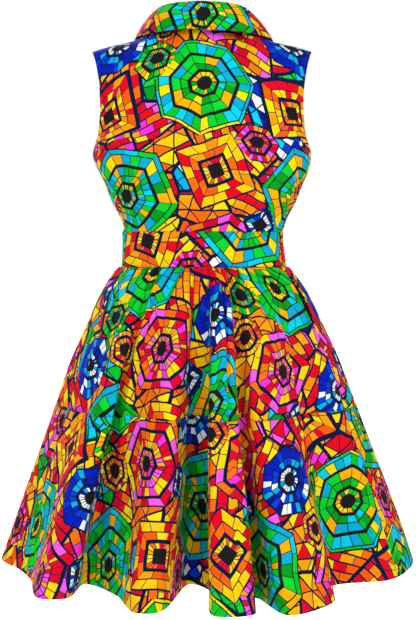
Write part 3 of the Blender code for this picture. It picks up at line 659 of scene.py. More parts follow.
# %% Creased bodice
SIDE_TAKEN_IN = 0.0070
TIPS_LIFTED = 0.0050


def crease_bodice(middle):
    """How far the table's troughs and ridges move each bodice point along its normal."""
    push = np.zeros(middle.shape[:2])
    for side, x, z, angle, long, wide, depth in BODICE_CREASES:
        turn = math.radians(angle)
        right = middle[..., 0] - x
        up = middle[..., 2] - z
        along = right * math.cos(turn) + up * math.sin(turn)
        across = up * math.cos(turn) - right * math.sin(turn) + 1.6 * along * along
        shape = np.exp(-((along / long) ** 2) - (across / wide) ** 2)
        on_side = middle[..., 1] < 0.0 if side == "back" else middle[..., 1] > 0.0
        push += depth * shape * on_side
    return push


def settle_bodice(middle):
    """The dress's left side taken in over the band, and the shoulder tips a little higher."""
    x = middle[..., 0]
    z = middle[..., 2]
    at_side = smooth((-x / 0.17 - 0.45) / 0.50)
    taken = SIDE_TAKEN_IN * smooth((-0.188 - z) / 0.040) * smooth((z + 0.3285) / 0.014) * at_side
    lifted = TIPS_LIFTED * smooth((abs(x) - 0.118) / 0.050) * smooth((z + 0.060) / 0.045)
    return np.stack([taken, np.zeros(x.shape), lifted], -1)


print("bodice creases are at most", max(abs(row[-1]) for row in BODICE_CREASES), "m deep")


# %% Creased skirt
# The folds fade within so many degrees of the placket, which lies flat.
CALM_WIDE = 7.0


def bend_skirt(step, z):
    """How far the fine gathers and soft bends move the skirt outwards."""
    wrapped = step % HEM_COUNT
    bearing = np.interp(wrapped, HEM_STEPS, HEM_EVEN) + 360 * np.floor(step / HEM_COUNT)
    down = BAND_LOW_Z - z
    push = np.zeros(np.broadcast(step, z).shape)
    for at, half, depth, drop in FINE_GATHERS:
        off = (bearing - at + 180) % 360 - 180
        push += depth * np.exp(-((off / half) ** 2) - (down / drop) ** 2)
    for at, height, half, tall, depth in SKIRT_BENDS:
        off = (bearing - at + 180) % 360 - 180
        push += depth * np.exp(-((off / half) ** 2) - ((z - height) / tall) ** 2)
    calm = 1 - np.exp(-(((bearing - CENTRE_FRONT) / CALM_WIDE) ** 2))
    return (push + lap_over(bearing, z)) * calm


def full_skirt(step, z):
    """The solid's skirt with the fine gathers and bends, moved straight outwards."""
    spot = skirt(step, z)
    level = spot * (1, 1, 0)
    level = level / np.linalg.norm(level, axis=-1, keepdims=True)
    return spot + level * bend_skirt(np.asarray(step, float), np.asarray(z, float))[..., None]


print("full skirt ready")

# %% [markdown]
# ## The print
#
# Wax print is a flat pattern dyed through plain cotton, so it belongs to the material and
# not to the mesh. It is built from four node groups that work in metres on each panel's
# unrolled cloth. A picture could be wrapped on, but a formula stays sharp at any distance.
# *Tile colours* is a ramp of four colour families. *Nearest medallion* picks one of a
# repeat's medallions. *Medallion* lays rings of tiles round it. *Shards* fills the ground
# between, and *Mosaic print* puts them together. The layout is a made-up one.

# %% Node helpers
TURN = 2 * math.pi


class Sums:
    """Writes arithmetic into a node tree: each call makes one node and returns its output."""

    def __init__(self, tree):
        self.tree = tree
        self.made = 0

    def node(self, kind, **settings):
        node = self.tree.nodes.new(kind)
        node.location = (190 * (self.made % 12), -190 * (self.made // 12))
        self.made += 1
        for key, value in settings.items():
            setattr(node, key, value)
        return node

    def put(self, socket, value):
        if isinstance(value, bpy.types.NodeSocket):
            self.tree.links.new(value, socket)
        else:
            socket.default_value = value

    def calc(self, operation, *values):
        node = self.node("ShaderNodeMath", operation=operation)
        for socket, value in zip(node.inputs, values):
            self.put(socket, value)
        return node.outputs[0]

    def vector(self, operation, *values):
        node = self.node("ShaderNodeVectorMath", operation=operation)
        for socket, value in zip(node.inputs, values):
            self.put(socket, value)
        return node.outputs["Value" if operation in ("LENGTH", "DOT_PRODUCT") else "Vector"]

    def split(self, value):
        node = self.node("ShaderNodeSeparateXYZ")
        self.put(node.inputs[0], value)
        return node.outputs[0], node.outputs[1], node.outputs[2]

    def join(self, x, y, z=0.0):
        node = self.node("ShaderNodeCombineXYZ")
        for socket, value in zip(node.inputs, (x, y, z)):
            self.put(socket, value)
        return node.outputs[0]

    def mix(self, kind, share, first, second):
        node = self.node("ShaderNodeMix", data_type=kind)
        self.put(node.inputs[0], share)
        slots = {"FLOAT": (2, 3), "VECTOR": (4, 5), "RGBA": (6, 7)}[kind]
        self.put(node.inputs[slots[0]], first)
        self.put(node.inputs[slots[1]], second)
        return node.outputs[{"FLOAT": 0, "VECTOR": 1, "RGBA": 2}[kind]]

    def random(self, value):
        node = self.node("ShaderNodeTexWhiteNoise", noise_dimensions="3D")
        self.put(node.inputs["Vector"], value)
        return node.outputs["Value"]

    def group(self, tree, **values):
        node = self.node("ShaderNodeGroup", node_tree=tree)
        for key, value in values.items():
            self.put(node.inputs[key.replace("_", " ")], value)
        return node.outputs


def new_group(name, inputs, outputs):
    """A shader group with named sockets, its Sums, its input wires and its output node."""
    tree = bpy.data.node_groups.new(name, "ShaderNodeTree")
    for label, kind in inputs:
        tree.interface.new_socket(label, in_out="INPUT", socket_type="NodeSocket" + kind)
    for label, kind in outputs:
        tree.interface.new_socket(label, in_out="OUTPUT", socket_type="NodeSocket" + kind)
    entry = tree.nodes.new("NodeGroupInput")
    entry.location = (-300, 0)
    leave = tree.nodes.new("NodeGroupOutput")
    leave.location = (2500, 0)
    return tree, Sums(tree), entry.outputs, leave.inputs


print("node helpers ready")

# %% [markdown]
# ### Tile colours
#
# Wax print takes a few strong dyes over a dark outline. Each colour could be a material of
# its own, but the tiles are not separate faces. One stepped ramp holds them all: four
# families of eight. A family number and a key between 0 and 1 pick the step. Two inks draw
# the outlines, a navy one and a nearly black one for the green family and the centres.

# %% Group: tile colours
# Four families of eight colours, each written as it looks in daylight (0 to 255).
TILE_FAMILIES = (
    ("green", (0, 195, 35), (0, 210, 240), (0, 212, 45), (255, 225, 0), (0, 158, 30), (5, 216, 50),
     (255, 180, 0), (0, 175, 215)),
    ("warm", (235, 0, 30), (255, 110, 0), (255, 205, 0), (255, 145, 0), (235, 0, 40), (255, 225, 0),
     (255, 95, 0), (255, 165, 0)),
    ("pink", (230, 0, 35), (255, 115, 5), (255, 50, 220), (235, 5, 25), (255, 170, 0), (250, 90, 232),
     (225, 0, 40), (255, 215, 0)),
    ("blue", (0, 30, 195), (0, 175, 235), (250, 252, 255), (0, 45, 212), (0, 210, 240), (5, 22, 135),
     (0, 62, 215), (245, 250, 255)),
)
# The two inks, in the renderer's own linear values.
NAVY_INK = (0.0024, 0.0103, 0.0470, 1.0)
BLACK_INK = (0.0110, 0.0100, 0.0120, 1.0)


def daylight(colour):
    """Screen colour to the renderer's own linear values."""
    linear = [((c / 255 + 0.055) / 1.055) ** 2.4 if c > 10 else c / 255 / 12.92 for c in colour]
    return (*linear, 1.0)


colours_tree, s, given, sent = new_group(
    "Tile colours", (("Family", "Float"), ("Key", "Float")), (("Color", "Color"),))
ramp = s.node("ShaderNodeValToRGB")
ramp.color_ramp.interpolation = "CONSTANT"
stops = [daylight(colour) for row in TILE_FAMILIES for colour in row[1:]]
while len(ramp.color_ramp.elements) < len(stops):
    ramp.color_ramp.elements.new(1.0)
for number, (stop, colour) in enumerate(zip(ramp.color_ramp.elements, stops)):
    stop.position = number / len(stops)
    stop.color = colour
# A key of 1 would fall into the next family, so it is held just under 1.
held_key = s.calc("MULTIPLY", given["Key"], 0.998)
families = float(len(TILE_FAMILIES))
s.put(ramp.inputs[0], s.calc("DIVIDE", s.calc("ADD", given["Family"], held_key), families))
s.put(sent["Color"], ramp.outputs["Color"])
print(len(stops), "tile colours")

# %% [markdown]
# ### The nearest medallion
#
# A print repeats along the cloth, and medallions of many sizes lie close in one repeat.
# Each could be drawn alone and laid over the others, but then every pixel would pay for
# ten drawings. This small group compares one medallion with the best so far, by distance
# over radius, and hands on the winner. It is used once for each row of the table, and the
# wrapped distance makes the repeat seamless.

# %% Group: nearest medallion
REPEAT = (0.340, 0.462)

# Each medallion in the repeat: centre, radius, sides, turn in degrees, colour family.
# The families are 0 green, 1 warm, 2 pink and 3 blue.
MEDALLIONS = (
    (0.060, 0.090, 0.098, 6, 11, 0),
    (0.236, 0.046, 0.068, 4, 24, 1),
    (0.226, 0.198, 0.080, 6, 40, 2),
    (0.082, 0.246, 0.060, 7, 5, 3),
    (0.256, 0.360, 0.091, 7, 17, 0),
    (0.092, 0.374, 0.074, 4, 31, 1),
    (0.000, 0.300, 0.041, 6, 50, 0),
    (0.156, 0.146, 0.036, 4, 12, 3),
    (0.162, 0.456, 0.041, 6, 3, 2),
    (0.325, 0.225, 0.038, 6, 9, 1),
)

nearer_tree, s, given, sent = new_group(
    "Nearest medallion",
    (("Point", "Vector"), ("Centre", "Vector"), ("Radius", "Float"), ("Kind", "Vector"),
     ("Best ratio", "Float"), ("Best offset", "Vector"), ("Best kind", "Vector")),
    (("Ratio", "Float"), ("Offset", "Vector"), ("Kind", "Vector")))
half_repeat = (REPEAT[0] / 2, REPEAT[1] / 2, 1.0)
apart = s.vector("SUBTRACT", given["Point"], given["Centre"])
apart = s.vector("WRAP", apart, half_repeat, tuple(-v for v in half_repeat))
ratio = s.calc("DIVIDE", s.vector("LENGTH", apart), given["Radius"])
nearer = s.calc("LESS_THAN", ratio, given["Best ratio"])
x, y, _ = s.split(apart)
s.put(sent["Ratio"], s.mix("FLOAT", nearer, given["Best ratio"], ratio))
s.put(sent["Offset"], s.mix("VECTOR", nearer, given["Best offset"], s.join(x, y, given["Radius"])))
s.put(sent["Kind"], s.mix("VECTOR", nearer, given["Best kind"], given["Kind"]))
print(len(MEDALLIONS), "medallions in a repeat of", REPEAT, "m")

# %% [markdown]
# ### A medallion's rings
#
# For a polygon with n sides, the turn round the centre is cut into n sectors. In a sector,
# the distance to its side gives the ring, and the place along the side gives the tile. So
# two numbers make every ring, tile, spoke and lead, and a hash of the tile's numbers picks
# its colour. Most tiles of a ring take nearly the ring's own colour, so rings read as bands.

# %% Medallion sizes
# Reach of the dark centre, and how much wider each ring is than the one inside it, as a
# share of the first.
DARK_CENTRE = 0.0110
RING_GROWTH = 0.36
# Dark outlines: thin and thick ones by turns between rings, between tiles, and at the rim.
THIN_LEAD = 0.0010
THICK_LEAD = 0.0029
LEAD_STEP = 0.0019
TILE_LEAD = 0.00070
RIM_LEAD = 0.0026
# How far a tile's colour may stray from its ring's.
TILE_STRAY = 0.55
print("outlines from", TILE_LEAD, "to", THICK_LEAD, "m")

# %% Group: medallion
web_tree, s, given, sent = new_group(
    "Medallion",
    (("Offset", "Vector"), ("Kind", "Vector"), ("Ring width", "Float")),
    (("Color", "Color"), ("Inside", "Float")))
x, y, radius = s.split(given["Offset"])
sides, turned, family = s.split(given["Kind"])
ring_width = given["Ring width"]
sector = s.calc("DIVIDE", TURN, sides)
angle = s.calc("ADD", s.calc("ARCTAN2", y, x), turned)
number = s.calc("FLOOR", s.calc("DIVIDE", angle, sector))
middle_angle = s.calc("MULTIPLY", s.calc("ADD", number, 0.5), sector)
off = s.calc("SUBTRACT", angle, middle_angle)
reach = s.vector("LENGTH", s.join(x, y))
away = s.calc("MULTIPLY", reach, s.calc("COSINE", off))
along = s.calc("MULTIPLY", reach, s.calc("SINE", off))
half_sector = s.calc("MULTIPLY", sector, 0.5)
half_side = s.calc("MULTIPLY", away, s.calc("TANGENT", half_sector))
out_by = s.calc("DIVIDE", s.calc("SUBTRACT", away, DARK_CENTRE), ring_width)
# Each ring is wider than the last, so the ring's number is the root of a square.
rings = s.calc("SQRT", s.calc("MAXIMUM", s.calc("MULTIPLY_ADD", out_by, 2 * RING_GROWTH, 1.0), 0.0))
rings = s.calc("DIVIDE", s.calc("SUBTRACT", rings, 1.0), RING_GROWTH)
ring = s.calc("FLOOR", rings)
ring_part = s.calc("FRACT", rings)
wide = s.calc("MULTIPLY", ring_width, s.calc("MULTIPLY_ADD", rings, RING_GROWTH, 1.0))
odd = s.calc("FLOORED_MODULO", ring, 2.0)
thick = s.calc("MULTIPLY_ADD", odd, LEAD_STEP, THIN_LEAD)
thick_next = s.calc("MULTIPLY_ADD", odd, -LEAD_STEP, THICK_LEAD)
from_inner = s.calc("SUBTRACT", s.calc("MULTIPLY", ring_part, wide), thick)
from_outer = s.calc("SUBTRACT", wide, s.calc("MULTIPLY", ring_part, wide))
from_outer = s.calc("SUBTRACT", from_outer, thick_next)
ring_random = s.random(s.join(ring, radius, 3.0))
tiles = s.calc("ADD", 3.0, s.calc("FLOOR", s.calc("MULTIPLY", ring_random, 2.9)))
tiles = s.calc("SUBTRACT", tiles, s.calc("GREATER_THAN", sides, 6.5))
share = s.calc("MULTIPLY_ADD", s.calc("DIVIDE", along, half_side), 0.5, 0.5)
place = s.calc("MULTIPLY", share, tiles)
tile = s.calc("FLOOR", place)
tile_part = s.calc("FRACT", place)
tile_long = s.calc("DIVIDE", s.calc("MULTIPLY", half_side, 2.0), tiles)
near_edge = s.calc("MINIMUM", tile_part, s.calc("SUBTRACT", 1.0, tile_part))
from_tile = s.calc("SUBTRACT", s.calc("MULTIPLY", near_edge, tile_long), TILE_LEAD)
clear = s.calc("MINIMUM", s.calc("MINIMUM", from_inner, from_outer), from_tile)
clear = s.calc("MINIMUM", clear, s.calc("ADD", ring, 0.5))
limit = s.calc("MULTIPLY", radius, s.calc("SQRT", s.calc("COSINE", half_sector)))
limit = s.calc("MULTIPLY", limit, 0.95)
clear = s.calc("MINIMUM", clear, s.calc("SUBTRACT", s.calc("SUBTRACT", limit, away), RIM_LEAD))
# The multipliers below only keep the tiles' random numbers apart.
own = s.random(s.join(ring, family, s.calc("MULTIPLY", radius, 91.0)))
tile_number = s.calc("MULTIPLY_ADD", number, 17.0, tile)
each = s.random(s.join(tile_number, ring, s.calc("MULTIPLY", radius, 37.0)))
key = s.calc("FRACT", s.calc("ADD", own, s.calc("MULTIPLY", each, TILE_STRAY)))
tinted = s.group(colours_tree, Family=family, Key=key)["Color"]
inked = s.calc("LESS_THAN", clear, 0.0)
black = s.calc("MAXIMUM", s.calc("LESS_THAN", away, DARK_CENTRE), s.calc("LESS_THAN", family, 0.5))
ink = s.mix("RGBA", black, NAVY_INK, BLACK_INK)
s.put(sent["Color"], s.mix("RGBA", inked, tinted, ink))
s.put(sent["Inside"], s.calc("LESS_THAN", away, limit))
print("medallion group has", len(web_tree.nodes), "nodes")

# %% [markdown]
# ### The ground
#
# Between medallions lie patches of tiles and shards. A plain checker would look like a
# grid, so irregular cells give each patch its own direction and family. One patch is laid
# in rows of tiles, the next in triangles. The distance to the nearest line, less half its
# width, draws every dark outline at an even width.

# %% Ground sizes
TILE_LONG = 0.0215
ROW_TALL = 0.0160
# Each row of tiles starts so much of a tile further on.
ROW_OFFSET = 0.37
# Half widths of the outlines: between rows, tiles, shards and patches.
ROW_LEAD = 0.0015
END_LEAD = 0.0007
SHARD_LEAD = 0.0013
PATCH_LEAD = 0.0030
# The share of patches that are laid in shards, and the shards' slant and flatness.
SHARD_SHARE = 0.36
SHARD_SLANT = 0.35
SHARD_FLAT = 0.8
print("tiles of", TILE_LONG, "by", ROW_TALL, "m")

# %% Group: shards
shard_tree, s, given, sent = new_group(
    "Shards", (("Point", "Vector"), ("Patch size", "Float"), ("Shard size", "Float")), (("Color", "Color"),))


def cells(size, feature):
    """A cell texture of the given size in metres, with corners kept crisp."""
    node = s.node("ShaderNodeTexVoronoi", voronoi_dimensions="2D", feature=feature)
    s.put(node.inputs["Vector"], given["Point"])
    s.put(node.inputs["Scale"], s.calc("DIVIDE", 1.0, size))
    node.inputs["Randomness"].default_value = 0.85
    return node.outputs


patch = cells(given["Patch size"], "F1")
patch_edge = cells(given["Patch size"], "DISTANCE_TO_EDGE")["Distance"]
patch_edge = s.calc("MULTIPLY", patch_edge, given["Patch size"])
first, second, third = s.split(patch["Color"])
spin = s.calc("MULTIPLY", first, TURN)
x, y, _ = s.split(given["Point"])
cos_spin = s.calc("COSINE", spin)
sin_spin = s.calc("SINE", spin)
across = s.calc("SUBTRACT", s.calc("MULTIPLY", x, cos_spin), s.calc("MULTIPLY", y, sin_spin))
upward = s.calc("ADD", s.calc("MULTIPLY", x, sin_spin), s.calc("MULTIPLY", y, cos_spin))
row_place = s.calc("DIVIDE", upward, ROW_TALL)
row = s.calc("FLOOR", row_place)
tile_place = s.calc("ADD", s.calc("DIVIDE", across, TILE_LONG), s.calc("MULTIPLY", row, ROW_OFFSET))
tile = s.calc("FLOOR", tile_place)
to_row = s.calc("MULTIPLY", s.calc("PINGPONG", row_place, 0.5), ROW_TALL)
to_end = s.calc("MULTIPLY", s.calc("PINGPONG", tile_place, 0.5), TILE_LONG)
to_line = s.calc("MINIMUM", s.calc("SUBTRACT", to_row, ROW_LEAD), s.calc("SUBTRACT", to_end, END_LEAD))
tile_key = s.random(s.join(tile, row, second))
shard_size = given["Shard size"]
slanted = s.calc("ADD", across, s.calc("MULTIPLY", upward, SHARD_SLANT))
shard_across = s.calc("DIVIDE", slanted, shard_size)
shard_up = s.calc("DIVIDE", upward, s.calc("MULTIPLY", shard_size, SHARD_FLAT))
part_across = s.calc("FRACT", shard_across)
part_up = s.calc("FRACT", shard_up)
lower_half = s.calc("LESS_THAN", part_up, part_across)
shard_key = s.random(s.join(s.calc("FLOOR", shard_across), s.calc("FLOOR", shard_up),
                            s.calc("ADD", lower_half, second)))
to_diagonal = s.calc("MULTIPLY", s.calc("ABSOLUTE", s.calc("SUBTRACT", part_up, part_across)), 0.6)
to_side = s.calc("MINIMUM", s.calc("PINGPONG", shard_across, 0.5), s.calc("PINGPONG", shard_up, 0.5))
to_shard = s.calc("MULTIPLY", s.calc("MINIMUM", to_diagonal, to_side), shard_size)
to_shard = s.calc("SUBTRACT", to_shard, SHARD_LEAD)
rowed = s.calc("GREATER_THAN", third, SHARD_SHARE)
key = s.mix("FLOAT", rowed, shard_key, tile_key)
ink_gap = s.mix("FLOAT", rowed, to_shard, to_line)
ink_gap = s.calc("MINIMUM", ink_gap, s.calc("SUBTRACT", patch_edge, PATCH_LEAD))
# A patch's random number picks its family: few are green or blue, most are warm or pink.
family = s.calc("ADD", 1.0, s.calc("GREATER_THAN", second, 0.55))
family = s.calc("ADD", family, s.calc("GREATER_THAN", second, 0.93))
family = s.calc("MULTIPLY", family, s.calc("GREATER_THAN", second, 0.10))
tinted = s.group(colours_tree, Family=family, Key=key)["Color"]
s.put(sent["Color"], s.mix("RGBA", s.calc("LESS_THAN", ink_gap, 0.0), tinted, NAVY_INK))
print("shards group has", len(shard_tree.nodes), "nodes")

# %% [markdown]
# ### The whole print
#
# On real cloth the dye creeps a little, so no printed line is ruler straight. A slow noise
# bends the place on the cloth before anything is drawn, which warps all motifs together.
# The table's medallions are then compared in turn, and the winner is drawn over the
# ground.

# %% Group: the whole print
WANDER_SCALE = 13.0
FIRST_RING = 0.0093
PATCH_SIZE = 0.074
SHARD_SIZE = 0.036
print_tree, s, given, sent = new_group(
    "Mosaic print", (("Cloth", "Vector"), ("Warp", "Float")), (("Color", "Color"),))
wander = s.node("ShaderNodeTexNoise", noise_dimensions="2D")
s.put(wander.inputs["Vector"], given["Cloth"])
wander.inputs["Scale"].default_value = WANDER_SCALE
wander.inputs["Detail"].default_value = 1.0
shift = s.vector("SUBTRACT", wander.outputs["Color"], (0.5, 0.5, 0.5))
shift = s.vector("MULTIPLY", shift, s.join(given["Warp"], given["Warp"], 0.0))
point = s.vector("ADD", given["Cloth"], shift)
x, y, _ = s.split(point)
point = s.join(x, y)
# The first best is far away, so that any medallion beats it.
best = {"Ratio": 99.0, "Offset": (1.0, 1.0, 1.0), "Kind": (6.0, 0.0, 0.0)}
for cx, cy, radius, sides, turned, family in MEDALLIONS:
    best = s.group(nearer_tree, Point=point, Centre=(cx, cy, 0.0), Radius=radius,
                   Kind=(sides, math.radians(turned), family), Best_ratio=best["Ratio"],
                   Best_offset=best["Offset"], Best_kind=best["Kind"])
web = s.group(web_tree, Offset=best["Offset"], Kind=best["Kind"], Ring_width=FIRST_RING)
ground = s.group(shard_tree, Point=point, Patch_size=PATCH_SIZE, Shard_size=SHARD_SIZE)
s.put(sent["Color"], s.mix("RGBA", web["Inside"], ground["Color"], web["Color"]))
print("print group is ready")

# %% [markdown]
# ## Weave
#
# The cloth is a plain weave: each thread goes over one and under the next. Threads as
# geometry would be far too many. Two sine waves multiplied give their over and under,
# which repeats every 0.9 mm, as a very low bump that only shows close by.

# %% Group: weave
weave_tree, s, given, sent = new_group(
    "Plain weave", (("Cloth", "Vector"), ("Thread", "Float"), ("Height", "Float")), (("Normal", "Vector"),))
x, y, _ = s.split(given["Cloth"])
warp_way = s.calc("SINE", s.calc("DIVIDE", s.calc("MULTIPLY", x, TURN), given["Thread"]))
weft_way = s.calc("SINE", s.calc("DIVIDE", s.calc("MULTIPLY", y, TURN), given["Thread"]))
bump = s.node("ShaderNodeBump")
bump.inputs["Strength"].default_value = 0.35
s.put(bump.inputs["Distance"], given["Height"])
s.put(bump.inputs["Height"], s.calc("MULTIPLY", warp_way, weft_way))
s.put(sent["Normal"], bump.outputs["Normal"])
print("weave group is ready")

# %% [markdown]
# ## Materials
#
# Wax-printed cotton is crisp and matte with a faint sheen, so it is rough and has almost
# no highlight. The dye goes through, so the inside is the same print, a little paler.
# Both sides could share one material that asks which way a face points, but two plain
# ones are simpler to read. Thread and buttons are one plain colour each.

# %% Cloth, thread and button materials
PRINT_WARP = 0.011
WEAVE_REPEAT = 0.0009
WEAVE_HEIGHT = 0.00006
UNDYED = (0.80, 0.78, 0.74, 1.0)


def cloth_material(name, paler):
    """Printed cotton. Paler is how much undyed cotton shows on this side."""
    look = bpy.data.materials.new(name)
    look.use_nodes = True
    shader = look.node_tree.nodes["Principled BSDF"]
    s = Sums(look.node_tree)
    flat = s.node("ShaderNodeUVMap", uv_map="Flat").outputs["UV"]
    colour = s.group(print_tree, Cloth=flat, Warp=PRINT_WARP)["Color"]
    colour = s.mix("RGBA", paler, colour, UNDYED)
    s.put(shader.inputs["Base Color"], colour)
    shader.inputs["Roughness"].default_value = 0.70
    shader.inputs["Specular IOR Level"].default_value = 0.05
    shader.inputs["Sheen Weight"].default_value = 0.01
    shader.inputs["Sheen Roughness"].default_value = 0.5
    weave = s.group(weave_tree, Cloth=flat, Thread=WEAVE_REPEAT, Height=WEAVE_HEIGHT)
    s.put(shader.inputs["Normal"], weave["Normal"])
    return look


def plain_material(name, colour, rough):
    """One colour with one roughness."""
    look = bpy.data.materials.new(name)
    look.use_nodes = True
    shader = look.node_tree.nodes["Principled BSDF"]
    shader.inputs["Base Color"].default_value = (*colour, 1.0)
    shader.inputs["Roughness"].default_value = rough
    return look


outside = cloth_material("ankara outside", 0.0)
inside = cloth_material("ankara inside", 0.12)
thread_look = plain_material("dark thread", (0.03, 0.03, 0.045), 0.6)
button_look = plain_material("dark button", (0.02, 0.02, 0.025), 0.28)
print("materials", [look.name for look in bpy.data.materials])

# %% [markdown]
# ## From a surface to a cloth panel
#
# Woven cloth is thin but has two faces and an edge. A Solidify modifier could thicken a
# single surface, but it can't double a hem or name the inside. So a panel is one grid of
# points with a second grid behind it and a rim between them. The map called *Flat* holds
# each point's place on the unrolled cloth in metres, measured along the grid, so the
# print keeps its true scale and follows every fold. Seam edges turn inwards a little, as
# stitched edges do, and a hem is two cloths thick.

# %% Lengths and edges
def arc_lengths(middle):
    """Lengths along the rows from the first column, and down the columns from the first row."""
    right = np.linalg.norm(np.diff(middle, axis=1), axis=-1)
    across = np.concatenate([np.zeros((len(middle), 1)), np.cumsum(right, axis=1)], axis=1)
    low = np.linalg.norm(np.diff(middle, axis=0), axis=-1)
    down = np.concatenate([np.zeros((1, middle.shape[1])), np.cumsum(low, axis=0)], axis=0)
    return across, down


def edge_distances(middle):
    """Each point's distance from the grid's four edges. The top is the first row."""
    across, down = arc_lengths(middle)
    return {"left": across, "right": across[:, -1:] - across, "top": down, "low": down[-1:] - down}


def near_ends(values, near):
    """Adds grid lines close to both ends, where a seam turns the cloth inwards."""
    sign = np.sign(values[-1] - values[0])
    extra = np.concatenate([values[0] + sign * np.array(near), values[-1] - sign * np.array(near)])
    inner = [v for v in values[1:-1] if np.min(np.abs(v - extra)) > near[0] * 0.7]
    merged = np.concatenate([[values[0], values[-1]], extra, inner])
    return np.sort(merged)[:: int(sign)]


def turn_edges(middle, normal, edges, depth=0.0013, width=0.0022):
    """Sinks the named edges inwards, as a pressed seam does."""
    from_edge = edge_distances(middle)
    sink = np.zeros(middle.shape[:2])
    for edge in edges:
        sink = np.maximum(sink, np.clip(1 - from_edge[edge] / width, 0, 1) ** 2)
    return middle - normal * (depth * sink)[..., None]


def hem_wall(middle, hems):
    """Wall of the cloth, doubled within a hem's width of the named edges."""
    from_edge = edge_distances(middle)
    wall = np.full(middle.shape[:2], SHELL)
    for edge, width in hems:
        wall = np.where(from_edge[edge] < width, 2 * SHELL, wall)
    return wall


print("edge helpers ready, cloth is", SHELL, "m thick")


# %% Flat map
def unrolled(u, down):
    """Flat place of each point: a flared panel opens out as part of a ring, without shear."""
    width = u[:, -1] - u[:, 0]
    flare, first = np.polyfit(down.mean(axis=1), width, 1)
    if abs(flare) < 0.08:
        return u, -down
    reach = first / flare + down
    reach = np.maximum(reach, 0.02) if flare > 0 else np.minimum(reach, -0.02)
    turn = u / reach
    return reach * np.sin(turn), first / flare - reach * np.cos(turn)


def lay_flat(mesh, across, down, origin, squeeze):
    """Writes the map of the unrolled cloth, the same for both faces."""
    u = across - across[:, across.shape[1] // 2][:, None]
    if squeeze is not None:
        u = u * squeeze
    u, v = unrolled(u, down)
    flat = np.stack([origin[0] + u, origin[1] + v], -1)
    flat = np.concatenate([flat.reshape(-1, 2)] * 2)
    layer = mesh.uv_layers.new(name="Flat")
    corner = np.zeros(len(mesh.loops), np.int32)
    mesh.loops.foreach_get("vertex_index", corner)
    layer.data.foreach_set("uv", flat[corner].astype(np.float32).ravel())


print("flat map ready")


def shell_mesh(name, outer, inner, normal, looks):
    """A closed shell from two grids: the outer face, the inner face and the rim."""
    rows, columns = outer.shape[:2]
    count = rows * columns
    points = np.concatenate([outer.reshape(-1, 3), inner.reshape(-1, 3)])
    points[:, 0] += leaning(points[:, 2])
    start = (np.arange(rows - 1)[:, None] * columns + np.arange(columns - 1)[None, :]).ravel()
    quads = np.stack([start, start + 1, start + columns + 1, start + columns], axis=1)
    ring = np.concatenate([
        np.arange(columns), columns * np.arange(1, rows) + columns - 1,
        count - 2 - np.arange(columns - 1), columns * np.arange(rows - 2, 0, -1)])
    turned = np.roll(ring, -1)
    rim = np.stack([turned, ring, ring + count, turned + count], axis=1)
    faces = np.concatenate([quads, quads[:, ::-1] + count, rim])
    # One face in the middle tells whether the outer side already looks outwards.
    probe = quads[len(quads) // 2]
    facing = np.cross(points[probe[1]] - points[probe[0]], points[probe[3]] - points[probe[0]])
    if np.dot(facing, normal.reshape(-1, 3)[probe[0]]) < 0:
        faces = faces[:, ::-1]
    mesh = bpy.data.meshes.new(name)
    mesh.from_pydata(points.tolist(), [], faces.tolist())
    for look in looks:
        mesh.materials.append(look)
    side = np.concatenate([np.zeros(len(quads)), np.ones(len(quads)), np.zeros(len(rim))])
    mesh.polygons.foreach_set("material_index", side.astype(np.int32))
    return mesh


def cloth_panel(name, middle, normal, cad_nodes, origin=(0.0, 0.0), wall=None,
                squeeze=None, looks=(outside, inside)):
    """Builds a panel, maps it, attaches it to the dress and hides the solids that it stands for."""
    across, down = arc_lengths(middle)
    wall = np.full(across.shape, SHELL) if wall is None else wall
    outer = middle + normal * SHELL / 2
    inner = outer - normal * wall[..., None]
    mesh = shell_mesh(name, outer, inner, normal, looks)
    lay_flat(mesh, across, down, origin, squeeze)
    mesh.shade_smooth()
    mesh.set_sharp_from_angle(angle=math.radians(50))
    piece = bpy.data.objects.new(name, mesh)
    bpy.context.scene.collection.objects.link(piece)
    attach(piece, "root")
    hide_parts(*cad_nodes)


def face_out(middle, normal, centre):
    """Turns a grid's normals so that they leave the given centre."""
    away = np.mean(np.sum(normal * (middle - np.array(centre)) * (1, 1, 0), axis=-1))
    return normal if away > 0 else -normal


print("panel builder ready")

# %% [markdown]
# ## The bodice
#
# The back is one piece from waistband to collar, slightly full, so it blouses over the
# band. The front is two pieces under a placket. They could be one closed tube, but a seam
# needs two edges that meet. Each panel's rows start at the waist and end at the shoulder
# and the neck. The cloth is double along the armholes, where it is turned in and stitched.

# %% Bodice grid
# Distances from an edge of the extra rows and columns at a seam, and at the armhole's hem.
TURN_ROWS = (0.0006, 0.0014, 0.0024)
HEM_COLUMNS = (0.0062, 0.0068)
# Half the gap between back and front at a side seam, in degrees.
SIDE_GAP = 0.06
# How far down from the underarm the armhole's opening closes into the side seam.
UNDERARM_RUN = 0.012
# A bodice panel's width, near enough to turn a distance into a share of it.
ABOUT_WIDE = 0.4
# How far the creases fade before the side edges, the waist and the neck.
CALM_SIDE = 0.02
CALM_WAIST = 0.007


def bodice_bearings(share, z, back):
    """Bearing of a point by its share of the way from the right edge to the left one."""
    fade = np.clip((UNDERARM_Z - z) / UNDERARM_RUN, 0, 1)
    hole = np.maximum(armhole(z, back), 0.25)
    clear = SIDE_GAP if back else -SIDE_GAP
    if back:
        right = hole * (1 - fade) + (seam_bearing(z, "right") + clear) * fade
        left = 180 - hole * (1 - fade) - (seam_bearing(z, "left") + clear) * fade
    else:
        right = 360 - hole * (1 - fade) + (seam_bearing(z, "right") + clear) * fade
        left = 180 + hole * (1 - fade) - (seam_bearing(z, "left") + clear) * fade
    return right + (left - right) * share


